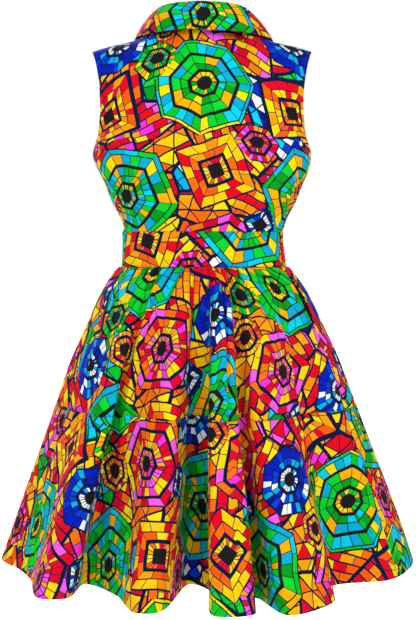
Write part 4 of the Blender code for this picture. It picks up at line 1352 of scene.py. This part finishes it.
def bodice_panel(back, start, end, columns):
    """The bodice's grid of points, finer than the solid's, with its creases."""
    shares = np.linspace(start, end, columns)
    reach = (end - start) * ABOUT_WIDE
    shares = near_ends(shares, tuple(v / reach for v in TURN_ROWS + HEM_COLUMNS))
    below = near_ends(np.linspace(BAND_TOP_Z + GAP, UNDERARM_Z, 50), TURN_ROWS)
    above = UNDERARM_Z + (MID_ARMHOLE_Z - UNDERARM_Z) * np.linspace(0, 1, 27)[1:] ** 1.6
    upper = np.linspace(0, 1, 57)[1:]

    def curved(share, up):
        return yoke(share, up, back)

    grid_share, grid_z = np.meshgrid(shares, np.concatenate([below, above]))
    turns = bodice_bearings(grid_share, grid_z, back)
    points = [torso(turns, grid_z)]
    normal = [normals(torso, turns, grid_z, 0.3, 5e-4)]
    grid_share, grid_up = np.meshgrid(shares, upper)
    points.append(curved(grid_share, grid_up))
    normal.append(normals(curved, grid_share, np.minimum(grid_up, 0.999), 1e-3, 1e-3))
    middle = np.concatenate(points)
    normal = np.concatenate(normal)
    flip = np.sign(np.sum(normal * (middle - np.array((0, 0, -0.16))), axis=-1, keepdims=True))
    normal = normal * np.where(flip == 0, 1, flip)
    across, down = arc_lengths(middle)
    calm = np.clip(across / CALM_SIDE, 0, 1) * np.clip((across[:, -1:] - across) / CALM_SIDE, 0, 1)
    calm = calm * np.clip(down / CALM_WAIST, 0, 1) * np.clip((down[-1:] - down) / CALM_SIDE, 0, 1)
    return middle + normal * (crease_bodice(middle) * calm)[..., None] + settle_bodice(middle), normal


print("bodice grid ready")

# %% Bodice panels
ARMHOLE_HEM = 0.0065
# Half the gap at the centre front, as a share of the front's whole width.
FRONT_GAP = 0.0006


def bodice_hem(middle, *edges):
    """Double cloth along the named armholes."""
    wall = hem_wall(middle, [(edge, ARMHOLE_HEM) for edge in edges])
    return np.where(middle[..., 2] > UNDERARM_Z + 0.002, wall, SHELL)


middle, normal = bodice_panel(True, 0.0, 1.0, 120)
wall = bodice_hem(middle, "left", "right")
# The first row is the waist, so the grid's top edge is the one tucked behind the band.
middle = turn_edges(middle, normal, ("top",), 0.0006)
cloth_panel("bodice_back_cloth", middle, normal, ["bodice_back"], wall=wall, origin=(0.262, 0.155))
BACK_BODICE = (middle, normal)

middle, normal = bodice_panel(False, 0.0, 0.5 - FRONT_GAP, 64)
wall = bodice_hem(middle, "left")
cloth_panel("bodice_front_right_cloth", middle, normal, ["bodice_front_right"], wall=wall,
            origin=(0.085, 0.330))
RIGHT_BODICE = (middle, normal)

middle, normal = bodice_panel(False, 0.5 + FRONT_GAP, 1.0, 64)
wall = bodice_hem(middle, "right")
cloth_panel("bodice_front_left_cloth", middle, normal, ["bodice_front_left"], wall=wall,
            origin=(0.195, 0.020))
LEFT_BODICE = (middle, normal)

# %% [markdown]
# ## The waistband
#
# The band is several cloths stitched flat, so it holds a plain level line and its edges
# are round. A belt laid over the dress would be simpler, but the real one is sewn in. It
# is joined near each side and laps at the front under a button. Its edges ripple a little
# where the gathers pull at the stitches.

# %% Waistband
BAND_SHELL = 0.0016
# The band's swell between its edges, and the two waves that ripple them.
BAND_SWELL = 0.0004
WAVE_A = 0.0005
WAVE_B = 0.0004
# Half the gap at a joint, and how far past the centre front the band laps, in degrees.
JOINT_GAP = 0.07
BAND_LAP = 6.5


def band_panel(name, start, end, columns, node, origin):
    """One length of the waistband between two bearings."""
    heights = near_ends(np.linspace(BAND_TOP_Z - GAP, BAND_LOW_Z + GAP, 15), (0.0005, 0.0011, 0.002))
    turns = near_ends(np.linspace(start, end, columns), (0.25, 0.6, 1.1))
    grid_turn, grid_z = np.meshgrid(turns, heights)
    middle = torso(grid_turn, grid_z)
    normal = face_out(middle, normals(torso, grid_turn, grid_z, 0.05, 0.0005), (0, 0, 0))
    from_edge = np.minimum(BAND_TOP_Z - grid_z, grid_z - BAND_LOW_Z)
    ripple = WAVE_A * np.sin(np.radians(grid_turn * 19.0))
    ripple = ripple + WAVE_B * np.sin(np.radians(grid_turn * 31.0 + 40))
    swell = BAND_SWELL * np.clip(from_edge / 0.004, 0, 1)
    middle = middle + normal * (swell + ripple * np.clip(1 - from_edge / 0.012, 0, 1) * 0.6)[..., None]
    middle = turn_edges(middle, normal, ("top", "low", "left", "right"), 0.0010, 0.0016)
    wall = np.full(middle.shape[:2], BAND_SHELL)
    cloth_panel(name, middle, normal, [node], wall=wall, origin=origin)
    return middle, normal


turn_right = SIDE_SWING["right"][0]
turn_left = 180.0 - SIDE_SWING["left"][0]
turn_lap = CENTRE_FRONT - BAND_LAP
BAND_BACK = band_panel("waistband_back_cloth", turn_right + JOINT_GAP, turn_left - JOINT_GAP, 110,
                       "waistband_back", (0.150, 0.062))
BAND_LEFT = band_panel("waistband_front_left_cloth", turn_left + JOINT_GAP, turn_lap - JOINT_GAP, 80,
                       "waistband_front_left", (0.040, 0.365))
BAND_RIGHT = band_panel("waistband_front_right_cloth", turn_lap + JOINT_GAP,
                        turn_right + 360 - JOINT_GAP, 95, "waistband_front_right", (0.230, 0.210))

# %% [markdown]
# ## The skirt
#
# The upper skirt is gathered into the band and swings out in folds that run on through
# the lower tier. Cloth simulation would drape it anew each time, so the folds are placed
# instead. The grid's columns are close on the upper piece, since its gathers are narrow,
# and closer still across the laps. The lower tier is cut to flare, and its hem is turned
# up 15 mm. The right front's edge stands off a little at the pocket's mouth.

# %% Skirt columns and the pocket's mouth
def close_steps(start, end, per_step):
    """Hem curve numbers of a panel's columns, closer together across the edges of the laps."""
    first = step_at(start)
    last = step_at(end)
    inner = np.arange(math.ceil(first * per_step + 0.4), math.floor(last * per_step - 0.4) + 1) / per_step
    spread = np.arange(-1.8, 1.9, 0.2)
    close = np.array([step_at(row[0] + turn + off) for row in LAPS for turn in (0, 360) for off in spread])
    close = close[(close > first + 0.2) & (close < last - 0.2)]
    far = np.abs(inner[:, None] - close).min(axis=1) > 0.02
    return np.sort(np.concatenate([[first], inner[far], close, [last]]))


def pocket_gape(middle, normal, along, edge, side):
    """Spreads the two edges of the pocket mouth: the front's stands out, the back's sinks in."""
    z = middle[..., 2]
    share = np.clip((z - MOUTH_LOW_Z) / (MOUTH_TOP_Z - MOUTH_LOW_Z), 0, 1)
    away = np.linalg.norm(middle - middle[:, edge][:, None], axis=-1)
    weight = (np.sin(np.pi * share) ** 1.2 * np.exp(-((away / 0.022) ** 2)))[..., None]
    return middle + weight * (normal * 0.55 * side - along * 0.5 * side) * MOUTH_OPEN


print("pocket mouth is", round(MOUTH_TOP_Z - MOUTH_LOW_Z, 3), "m long")


# %% Skirt panel builder
# Extra columns beside a seam, in steps of the hem curve.
SEAM_STEPS = (0.03, 0.08, 0.14)


def skirt_panel(name, start, end, heights, per_step, node, origin, edges, mouth=0, hem=0.0, gathered=False):
    """One panel of the skirt or the tier. Mouth is 1 or -1 beside the pocket."""
    steps = close_steps(start, end, per_step)
    beside = np.array(SEAM_STEPS)
    steps = np.unique(np.concatenate([steps, steps[0] + beside, steps[-1] - beside]))
    grid_step, grid_z = np.meshgrid(steps, heights)
    middle = full_skirt(grid_step, grid_z)
    normal = face_out(middle, normals(full_skirt, grid_step, grid_z, 0.02, 0.001), (0, 0, 0))
    along = full_skirt(grid_step + 0.01, grid_z) - full_skirt(grid_step - 0.01, grid_z)
    along = along / np.linalg.norm(along, axis=-1, keepdims=True)
    if mouth:
        middle = pocket_gape(middle, normal, along, -1 if mouth > 0 else 0, mouth)
    middle[:, 0] += along[:, 0] * GAP / 2
    middle[:, -1] -= along[:, -1] * GAP / 2
    middle = turn_edges(middle, normal, edges)
    wall = hem_wall(middle, (("low", hem),)) if hem else None
    _, down = arc_lengths(middle)
    squeeze = 1 + 0.35 * np.exp(-down / 0.06) if gathered else None
    cloth_panel(name, middle, normal, [node], origin=origin, wall=wall, squeeze=squeeze)
    return middle, normal


print("skirt panel builder ready")

# %% Skirt and tier panels
HEM_TURN_UP = 0.015
upper_rows = BAND_LOW_Z - GAP - (BAND_LOW_Z - TIER_Z - 2 * GAP) * np.linspace(0, 1, 46) ** 1.15
upper_rows = near_ends(upper_rows, (0.0006, 0.0013, 0.0022, 0.0036))
lower_rows = near_ends(np.linspace(TIER_Z - GAP, HEM_Z, 50), (0.0006, 0.0013, 0.0022))
# One more row just above the turned-up hem keeps its step crisp.
lower_rows = np.sort(np.append(lower_rows, HEM_Z + 0.0152))[::-1]
full_turn = SEAM_RIGHT + 360
SKIRT_BACK = skirt_panel("skirt_back_cloth", SEAM_RIGHT, SEAM_LEFT, upper_rows, 18, "skirt_back",
                         (0.120, 0.340), ("top", "low", "right"), -1, gathered=True)
SKIRT_LEFT = skirt_panel("skirt_front_left_cloth", SEAM_LEFT, CENTRE_FRONT, upper_rows, 18,
                         "skirt_front_left", (0.030, 0.140), ("top", "low", "left"), gathered=True)
SKIRT_RIGHT = skirt_panel("skirt_front_right_cloth", CENTRE_FRONT, full_turn, upper_rows, 18,
                          "skirt_front_right", (0.260, 0.280), ("top", "low"), 1, gathered=True)
TIER_BACK = skirt_panel("tier_back_cloth", SEAM_RIGHT, SEAM_LEFT, lower_rows, 12, "tier_back",
                        (0.055, 0.240), ("top", "left", "right"), hem=HEM_TURN_UP)
TIER_LEFT = skirt_panel("tier_front_left_cloth", SEAM_LEFT, CENTRE_FRONT, lower_rows, 12,
                        "tier_front_left", (0.190, 0.100), ("top", "left"), hem=HEM_TURN_UP)
TIER_RIGHT = skirt_panel("tier_front_right_cloth", CENTRE_FRONT, full_turn, lower_rows, 12,
                         "tier_front_right", (0.110, 0.020), ("top", "right"), hem=HEM_TURN_UP)

# %% [markdown]
# ## Plackets
#
# A placket is a doubled strip sewn over the front's edge, to carry the buttons. It could be
# a straight bar, but the front curves and bends under it. So the strip takes its points
# from the panel that it lies on, at an even width, moved out by the cloth's thickness.

# %% Strip helpers
def strip_on(middle, normal, half):
    """A strip of even width, centred on x = 0, lying on the rows of a grid."""
    across = np.linspace(-half, half, 4)
    strip = np.zeros((len(middle), 4, 3))
    out = np.zeros((len(middle), 4, 3))
    for i in range(len(middle)):
        order = np.argsort(middle[i, :, 0])
        x = middle[i, order, 0]
        for k in range(3):
            strip[i, :, k] = np.interp(across, x, middle[i, order, k])
            out[i, :, k] = np.interp(across, x, normal[i, order, k])
    return strip, out / np.linalg.norm(out, axis=-1, keepdims=True)


def finer_strip(middle, normal, count):
    """The strip's rows with more columns."""
    share = np.linspace(0, 1, count)
    at = np.linspace(0, 1, middle.shape[1])
    fine = np.stack([[np.interp(share, at, row[:, k]) for k in range(3)] for row in middle])
    fine_out = np.stack([[np.interp(share, at, row[:, k]) for k in range(3)] for row in normal])
    fine = np.swapaxes(fine, 1, 2)
    fine_out = np.swapaxes(fine_out, 1, 2)
    fine_out = fine_out / np.linalg.norm(fine_out, axis=-1, keepdims=True)
    return fine, fine_out


print("strip helpers ready")

# %% Plackets
PLACKET_SHELL = 0.0014
PLACKET_COLUMNS = 13
# From the middle of the front's cloth to the middle of the placket's.
placket_lift = CLOTH / 2 + 2.5 * GAP + PLACKET_CLOTH / 2


def placket(name, front, front_normal, node, raise_end=0.0):
    """A strip on a front panel's grid, lifted and turned in at both long edges."""
    strip, strip_out = strip_on(front, front_normal, PLACKET_HALF)
    strip, strip_out = finer_strip(strip, strip_out, PLACKET_COLUMNS)
    strip[0, :, 2] += raise_end
    strip = turn_edges(strip + strip_out * placket_lift, strip_out, ("left", "right"), 0.0006, 0.0012)
    cloth_panel(name, strip, strip_out, [node], origin=(0.140, 0.200),
                wall=np.full(strip.shape[:2], PLACKET_SHELL))
    return strip, strip_out


front_middle, front_normal = bodice_panel(False, 0.42, 0.58, 40)
BODICE_PLACKET = placket("bodice_placket_cloth", front_middle, front_normal, "bodice_placket",
                         0.0002)

strip_rows = np.concatenate([upper_rows[:-1], [TIER_Z], lower_rows[1:]])
grid_step, grid_z = np.meshgrid(np.linspace(32.5, 34.5, 65), strip_rows)
front_middle = skirt(grid_step, grid_z)
front_normal = face_out(front_middle, normals(skirt, grid_step, grid_z, 0.03, 0.002), (0, 0, 0))
SKIRT_PLACKET = placket("skirt_placket_cloth", front_middle, front_normal, "skirt_placket")

# %% [markdown]
# ## Collar
#
# A shirt collar is one band folded over: its stand rises from the neck seam, turns over in
# a small round, and falls over the shoulders to a free edge. It could be bent from a flat
# strip with a Curve modifier, but its fall has to clear the shoulders. So it is built
# between three rings, the neck seam, the folded top and the free edge, each given by a
# few turns from the back's middle to the front.

# %% Collar surfaces
# The stand's start over the neck seam at the back, and how much higher it starts in front.
SEAM_CLEAR = 0.0020
SEAM_CLEAR_FRONT = 0.0014
# The stand ends this far under the fold, where the round begins.
UNDER_FOLD = 0.0012
# The fall is bowed outwards and upwards between the fold and its edge.
BOW_OUT = 0.004
BOW_UP = 0.008


def collar_ring(turn, kind):
    """A ring of the collar: its neck seam, folded top or free edge, at a turn from the back."""
    turn = np.asarray(turn, float)
    past = np.where(turn > 180, 360 - turn, turn)
    side = np.where(turn > 180, -1, 1) * np.sign(past)
    if kind == "seam":
        past = np.abs(past)
        behind = neckline(0.5 - 0.2 * np.clip(past / 88, 0, 1), True)
        before = neckline(0.3 + 0.2 * np.clip((past - 88) / 92, 0, 1), False)
        ring = np.where((past < 88)[..., None], behind, before)
        return ring * np.stack([side, np.ones_like(side), np.ones_like(side)], -1)
    spot = []
    for axis in ("_x", "_y", "_z"):
        column = COLLAR[kind + axis]
        spot.append(smooth_row(np.abs(past), COLLAR["turn"], column, axis != "_x"))
    spot[0] = spot[0] * side
    if kind == "edge":
        # The free edge lies a little wider and lower on the dress's right.
        spot[0] = spot[0] * (1 + 0.03 * side)
        spot[2] = spot[2] - 0.0012 * side
    return np.stack(spot, -1)


def stand(turn, up):
    """The collar stand, from the neck seam to the fold."""
    low = collar_ring(turn, "seam")
    top = collar_ring(turn, "top")
    rise = top - low
    rise = rise / np.linalg.norm(rise, axis=-1, keepdims=True)
    past = np.abs(np.where(turn > 180, 360 - turn, turn))
    lift = SEAM_CLEAR + SEAM_CLEAR_FRONT * np.clip((past - 70) / 30, 0, 1)
    low = low + rise * lift[..., None]
    top = top - rise * UNDER_FOLD
    return low + (top - low) * np.asarray(up)[..., None]


def fall(turn, down):
    """The collar fall, from the fold out over the shoulders to its free edge."""
    top = collar_ring(turn, "top")
    edge = collar_ring(turn, "edge")
    ring = collar_ring(turn + 0.5, "top") - collar_ring(turn - 0.5, "top")
    out = np.stack([-ring[..., 1], ring[..., 0], 0 * ring[..., 0]], -1)
    out = out / np.linalg.norm(out, axis=-1, keepdims=True)
    out = out * np.sign(np.sum(out * (top - (0, 0.005, 0)) * (1, 1, 0), axis=-1, keepdims=True))
    top = top + out * (COLLAR_CLOTH + 2 * GAP)
    level = (edge - top) * (1, 1, 0)
    level = level / np.linalg.norm(level, axis=-1, keepdims=True)
    bow = (top + edge) / 2 + level * BOW_OUT + np.array((0, 0, BOW_UP))
    t = np.asarray(down)[..., None]
    return top * (1 - t) ** 2 + bow * 2 * t * (1 - t) + edge * t * t


print("collar surfaces ready")

# %% Collar stand
COLLAR_SHELL = 0.0013
# The stand reaches a little under its seam, so that no light shows through from inside.
BELOW_SEAM = -0.034


def collar_grid(surface, turns, shares):
    """Points and normals of a collar surface at the given turns and shares."""
    grid_turn, grid_share = np.meshgrid(turns, shares)
    middle = surface(grid_turn, grid_share)
    normal = normals(surface, grid_turn, grid_share, 0.5, 0.02)
    if np.mean(np.sum(normal * (middle - np.array((0, 0, -0.15))), axis=-1)) < 0:
        normal = -normal
    return middle, normal


turns = np.linspace(STAND_END - 360 + 0.15, STAND_END - 0.15, 200)
middle, normal = collar_grid(stand, turns, np.linspace(BELOW_SEAM, 1, 13))
cloth_panel("collar_stand_cloth", middle, normal, ["collar_stand"], origin=(0.200, 0.280),
            wall=np.full(middle.shape[:2], COLLAR_SHELL))
STAND = (middle, normal)

# %% Collar fall
FALL_ROWS = 30
# Two slow waves along the free edge, and the number of rows round the fold.
EDGE_WAVE_A = 0.0012
EDGE_WAVE_B = 0.0008
FOLD_ROWS = 8

turns = np.linspace(-FALL_END, FALL_END, 210)
middle, normal = collar_grid(fall, turns, np.linspace(0, 1, FALL_ROWS))
wavy = EDGE_WAVE_A * np.sin(np.radians(turns * 2.3 + 35))
wavy = wavy + EDGE_WAVE_B * np.sin(np.radians(turns * 5.1 + 80))
share = np.linspace(0, 1, FALL_ROWS)[:, None]
middle = middle + normal * (wavy[None, :] * share**2)[..., None]
# The round of the fold: nearly half a circle from the stand's top to the fall's first row.
top = stand(turns, np.ones(len(turns)))
begin = middle[0]
roll_middle = (top + begin) / 2
half_way = (begin - top) / 2
size = np.linalg.norm(half_way, axis=-1, keepdims=True)
upward = top - stand(turns, np.full(len(turns), 0.8))
upward = upward - half_way * np.sum(upward * half_way, axis=-1, keepdims=True) / size**2
upward = upward / np.linalg.norm(upward, axis=-1, keepdims=True)
roll = []
roll_out = []
for angle in np.linspace(180, 15, FOLD_ROWS):
    turn = math.radians(angle)
    way = half_way / size * math.cos(turn) + upward * math.sin(turn)
    roll.append(roll_middle + way * size)
    roll_out.append(way)
middle = np.concatenate([np.array(roll), middle])
normal = np.concatenate([np.array(roll_out), normal])
cloth_panel("collar_fall_cloth", middle, normal, ["collar_fall"], origin=(0.060, 0.118),
            wall=np.full(middle.shape[:2], COLLAR_SHELL))
FALL = (middle, normal)

# %% [markdown]
# ## Pocket bag
#
# Behind the open mouth in the right side seam hangs a bag of two layers of plain cotton.
# Its near-black colour is painted shade, standing for the shadow inside the mouth. It can't
# be seen well, and a closed sack would do. Two sheets are made instead, as the bag is cut,
# one for each edge of the mouth. Each starts at its edge, sinks behind the skirt over a few
# degrees and follows the skirt's own folds to the front.

# %% Pocket bag
POCKET_DEEP = 0.215
# The bag's bottom is narrower than its mouth by this share.
POCKET_TAPER = 0.35


def pocket_panel(name, first, last, near, deep, blend, node):
    """One layer between two bearings: its distance behind the skirt at the edge and beyond."""
    share, down = np.meshgrid(np.linspace(0, 1, 24), np.linspace(0, 1, 30))
    z = MOUTH_TOP_Z + 0.002 - down * POCKET_DEEP
    bearing = first + (last - first) * share * (1 - POCKET_TAPER * down**4)
    middle = skirt(step_at(bearing + 360), z)
    part = np.clip((first - bearing) / blend, 0, 1)
    low = np.clip((MOUTH_LOW_Z + 0.01 - z) / 0.03, 0, 1)
    sunk_by = near + 0.0035 * low * (1 - part) + deep * part * part * (3 - 2 * part)
    level = middle * (1, 1, 0)
    level = level / np.linalg.norm(level, axis=-1, keepdims=True)
    cloth_panel(name, middle - level * sunk_by[..., None], level, [node],
                origin=(0.1, 0.1), looks=(pocket_shade_look, pocket_shade_look))


# The bag is a real part, but its near-black colour is painted shade for the inside of the pocket's mouth.
pocket_shade_look = plain_material("pocket cotton painted shade", (0.06, 0.05, 0.09), 0.8)
pocket_panel("pocket_front_cloth", 16.6, -20.0, 0.0022, 0.0060, 9.0, "pocket_bag_front")
pocket_panel("pocket_back_cloth", 18.6, -20.0, 0.0058, 0.0062, 4.5, "pocket_bag_back")

# %% [markdown]
# ## Stitching
#
# Topstitching holds the turned edges down. A dashed line in the material would be flat and
# would run on under the next piece. So each stitch is a small raised ridge, 2.6 mm long on
# a 3.4 mm pitch, along a line taken from the panel's own grid, so that it sits on the
# cloth wherever that bends.

# %% Stitch lines
STITCH_LONG = 0.0026
STITCH_PITCH = 0.0034
STITCH_WIDE = 0.00055
STITCH_HIGH = 0.0003
# Half the length of the ridge's crest.
CREST = 0.0007


def line_beside(grid, edge, inset):
    """Points and normals along an edge of a panel, a distance in from it."""
    middle, normal = grid
    if edge in ("left", "right"):
        middle = np.swapaxes(middle, 0, 1)
        normal = np.swapaxes(normal, 0, 1)
    if edge in ("right", "low"):
        middle = middle[::-1]
        normal = normal[::-1]
    down = np.concatenate([np.zeros((1, middle.shape[1])),
                           np.cumsum(np.linalg.norm(np.diff(middle, axis=0), axis=-1), axis=0)])
    spots = []
    outs = []
    for j in range(middle.shape[1]):
        spots.append([np.interp(inset, down[:, j], middle[:, j, k]) for k in range(3)])
        outs.append([np.interp(inset, down[:, j], normal[:, j, k]) for k in range(3)])
    outs = np.array(outs)
    return np.array(spots), outs / np.linalg.norm(outs, axis=-1, keepdims=True)


def dashes(line, lift, where=None):
    """Corner points of every stitch on a line: a low ridge with six corners."""
    spots, outs = line
    length = np.concatenate([[0], np.cumsum(np.linalg.norm(np.diff(spots, axis=0), axis=-1))])
    starts = np.arange(0.0015, length[-1] - STITCH_LONG, STITCH_PITCH)

    def at(where_along, table):
        return np.stack([np.interp(where_along, length, table[:, k]) for k in range(3)], -1)

    first = at(starts, spots)
    last = at(starts + STITCH_LONG, spots)
    out = at(starts + STITCH_LONG / 2, outs)
    out = out / np.linalg.norm(out, axis=-1, keepdims=True)
    way = (last - first) / np.linalg.norm(last - first, axis=-1, keepdims=True)
    side = np.cross(out, way) * STITCH_WIDE / 2
    base = out * lift
    crest = out * (lift + STITCH_HIGH)
    middle = (first + last) / 2
    corners = np.stack([first + base, middle + base + side, last + base, middle + base - side,
                        middle + crest - way * CREST, middle + crest + way * CREST], 1)
    if where is not None:
        corners = corners[where(middle)]
    corners[..., 0] += leaning(corners[..., 2])
    return corners


# A stitch's eight triangles: six on its sides and crest, and two below.
RIDGE = ((0, 1, 4), (1, 5, 4), (1, 2, 5), (2, 3, 5), (3, 4, 5), (3, 0, 4), (0, 2, 1), (0, 3, 2))


def stitches(name, runs, on):
    """One object for several lines of stitches."""
    corners = np.concatenate(runs)
    faces = (np.arange(len(corners))[:, None, None] * 6 + np.array(RIDGE)[None]).reshape(-1, 3)
    mesh = bpy.data.meshes.new(name)
    mesh.from_pydata(corners.reshape(-1, 3).tolist(), [], faces.tolist())
    mesh.materials.append(thread_look)
    piece = bpy.data.objects.new(name, mesh)
    bpy.context.scene.collection.objects.link(piece)
    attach(piece, "root")
    print(f"{name}: {len(corners)} stitches on {on}")


print("stitches are", STITCH_LONG, "m long")


# %% Stitched seams
# How far each line of stitches runs from its edge.
BESIDE_HEM = 0.0055
BESIDE_SEAM = 0.0030
BESIDE_EDGE = 0.0025
HEM_LINE = 0.0140
# From a panel's grid of points to its outer face.
skin = SHELL / 2


def above_underarm(middle):
    """The armholes' stitches stop where the side seam starts."""
    return middle[:, 2] > UNDERARM_Z


# In the bodice's grids the last row is the shoulder and neck edge, so it is the low one.
bodice_runs = []
armholes = [(BACK_BODICE, "left"), (BACK_BODICE, "right"), (RIGHT_BODICE, "left"), (LEFT_BODICE, "right")]
for grid, edge in armholes:
    bodice_runs.append(dashes(line_beside(grid, edge, BESIDE_HEM), skin, where=above_underarm))
for grid in (BACK_BODICE, RIGHT_BODICE, LEFT_BODICE):
    bodice_runs.append(dashes(line_beside(grid, "low", BESIDE_SEAM), skin))
for edge in ("left", "right"):
    bodice_runs.append(dashes(line_beside(BODICE_PLACKET, edge, BESIDE_EDGE), skin))
stitches("bodice_stitches", bodice_runs, "armholes, shoulders, neck and placket")

band_runs = []
for grid in (BAND_BACK, BAND_LEFT, BAND_RIGHT):
    for edge in ("top", "low"):
        band_runs.append(dashes(line_beside(grid, edge, BESIDE_EDGE), skin))
stitches("waistband_stitches", band_runs, "both edges of the band")

skirt_runs = []
for grid in (SKIRT_BACK, SKIRT_LEFT, SKIRT_RIGHT):
    skirt_runs.append(dashes(line_beside(grid, "low", BESIDE_SEAM), skin))
for grid in (TIER_BACK, TIER_LEFT, TIER_RIGHT):
    skirt_runs.append(dashes(line_beside(grid, "low", HEM_LINE), skin))
for edge in ("left", "right"):
    skirt_runs.append(dashes(line_beside(SKIRT_PLACKET, edge, BESIDE_EDGE), skin))
stitches("skirt_stitches", skirt_runs, "tier seam, hem and placket")

collar_runs = [dashes(line_beside(FALL, edge, BESIDE_HEM), skin) for edge in ("low", "left", "right")]
collar_runs.append(dashes(line_beside(STAND, "top", BESIDE_SEAM), skin))
stitches("collar_stitches", collar_runs, "the collar's edges and its neck seam")

# %% [markdown]
# ## Buttons
#
# A shirt button is a turned disc with a raised rim, a dished middle and four holes. A Screw
# modifier could spin its outline, but the loop here shows how rings are joined. Then the
# holes are cut with a Boolean, and a cross of thread is laid over them. Each copy takes
# its place and its direction from the solid that it stands for.

# %% Button disc
# The outline from the back's middle round the rim to the front's middle: radius, height.
BUTTON_OUTLINE = (
    (0.0, -0.0011), (0.0042, -0.0011), (0.0052, -0.0008), (0.0057, -0.0001), (0.0056, 0.0007),
    (0.0051, 0.0011), (0.0045, 0.0010), (0.0038, 0.0005), (0.0030, 0.0003), (0.0, 0.0003),
)
BUTTON_SIDES = 48


def ring_round(shape, radius, height):
    """A ring of points, or a single one where the outline meets the middle."""
    if radius == 0.0:
        return [shape.verts.new((0, 0, height))]
    turns = [k * TURN / BUTTON_SIDES for k in range(BUTTON_SIDES)]
    return [shape.verts.new((radius * math.cos(t), radius * math.sin(t), height)) for t in turns]


def button_mesh():
    """The outline spun round, without its holes."""
    shape = bmesh.new()
    rings = [ring_round(shape, radius, height) for radius, height in BUTTON_OUTLINE]
    for low, high in zip(rings, rings[1:]):
        for k in range(BUTTON_SIDES):
            n = (k + 1) % BUTTON_SIDES
            if len(low) == 1:
                shape.faces.new((low[0], high[n], high[k]))
            elif len(high) == 1:
                shape.faces.new((low[k], low[n], high[0]))
            else:
                shape.faces.new((low[k], low[n], high[n], high[k]))
    mesh = bpy.data.meshes.new("button")
    shape.to_mesh(mesh)
    shape.free()
    return mesh


print("button is", 2 * max(row[0] for row in BUTTON_OUTLINE), "m wide")

# %% Button holes and thread
HOLE_RADIUS = 0.00075
HOLE_REACH = 0.0017
THREAD_BAR = (0.0040, 0.0008, 0.0005)
THREAD_HEIGHT = 0.0004


def cut_holes(mesh):
    """Takes four round holes out of the button."""
    disc = bpy.data.objects.new("button blank", mesh)
    drill_mesh = bpy.data.meshes.new("drill")
    shape = bmesh.new()
    for k in range(4):
        made = bmesh.ops.create_cone(shape, cap_ends=True, segments=16, radius1=HOLE_RADIUS,
                                     radius2=HOLE_RADIUS, depth=0.01)
        turn = TURN * (k + 0.5) / 4
        place = (HOLE_REACH * math.cos(turn), HOLE_REACH * math.sin(turn), 0)
        bmesh.ops.translate(shape, verts=made["verts"], vec=place)
    shape.to_mesh(drill_mesh)
    shape.free()
    drill = bpy.data.objects.new("drill", drill_mesh)
    for thing in (disc, drill):
        bpy.context.scene.collection.objects.link(thing)
    cut = disc.modifiers.new("holes", "BOOLEAN")
    cut.operation = "DIFFERENCE"
    cut.object = drill
    cut.solver = "EXACT"
    bpy.context.view_layer.update()
    result = bpy.data.meshes.new_from_object(disc.evaluated_get(bpy.context.evaluated_depsgraph_get()))
    bpy.data.objects.remove(disc)
    bpy.data.objects.remove(drill)
    return result


def add_thread(mesh):
    """Two crossed bars of thread over the holes, as a second material."""
    shape = bmesh.new()
    shape.from_mesh(mesh)
    for face in shape.faces:
        face.smooth = True
    for turn in (math.pi / 4, -math.pi / 4):
        made = bmesh.ops.create_cube(shape, size=1.0)
        bmesh.ops.scale(shape, verts=made["verts"], vec=THREAD_BAR)
        bmesh.ops.rotate(shape, verts=made["verts"], cent=(0, 0, 0), matrix=Matrix.Rotation(turn, 3, "Z"))
        bmesh.ops.translate(shape, verts=made["verts"], vec=(0, 0, THREAD_HEIGHT))
        for vert in made["verts"]:
            for face in vert.link_faces:
                face.material_index = 1
    shape.to_mesh(mesh)
    shape.free()
    mesh.set_sharp_from_angle(angle=math.radians(45))
    mesh.materials.append(button_look)
    mesh.materials.append(thread_look)


pattern = cut_holes(button_mesh())
add_thread(pattern)
print("a button has", len(pattern.polygons), "faces")

# %% Buttons in place
for number in range(1, 12):
    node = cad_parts[f"button_{number}"]
    spots = np.array([tuple(v.co) for v in node.data.vertices])
    centre = spots.mean(axis=0)
    # The shortest of the disc's three axes is the way it faces, turned towards the front.
    _, _, axes = np.linalg.svd(spots - centre)
    way = axes[2] * (1 if axes[2][1] > 0 else -1)
    piece = bpy.data.objects.new(f"button_{number}_turned", pattern)
    piece.location = centre
    piece.rotation_mode = "QUATERNION"
    piece.rotation_quaternion = Vector(way).to_track_quat("Z", "Y")
    bpy.context.scene.collection.objects.link(piece)
    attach(piece, "root")
    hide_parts(f"button_{number}")
print("buttons", [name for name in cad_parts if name.startswith("button_")])
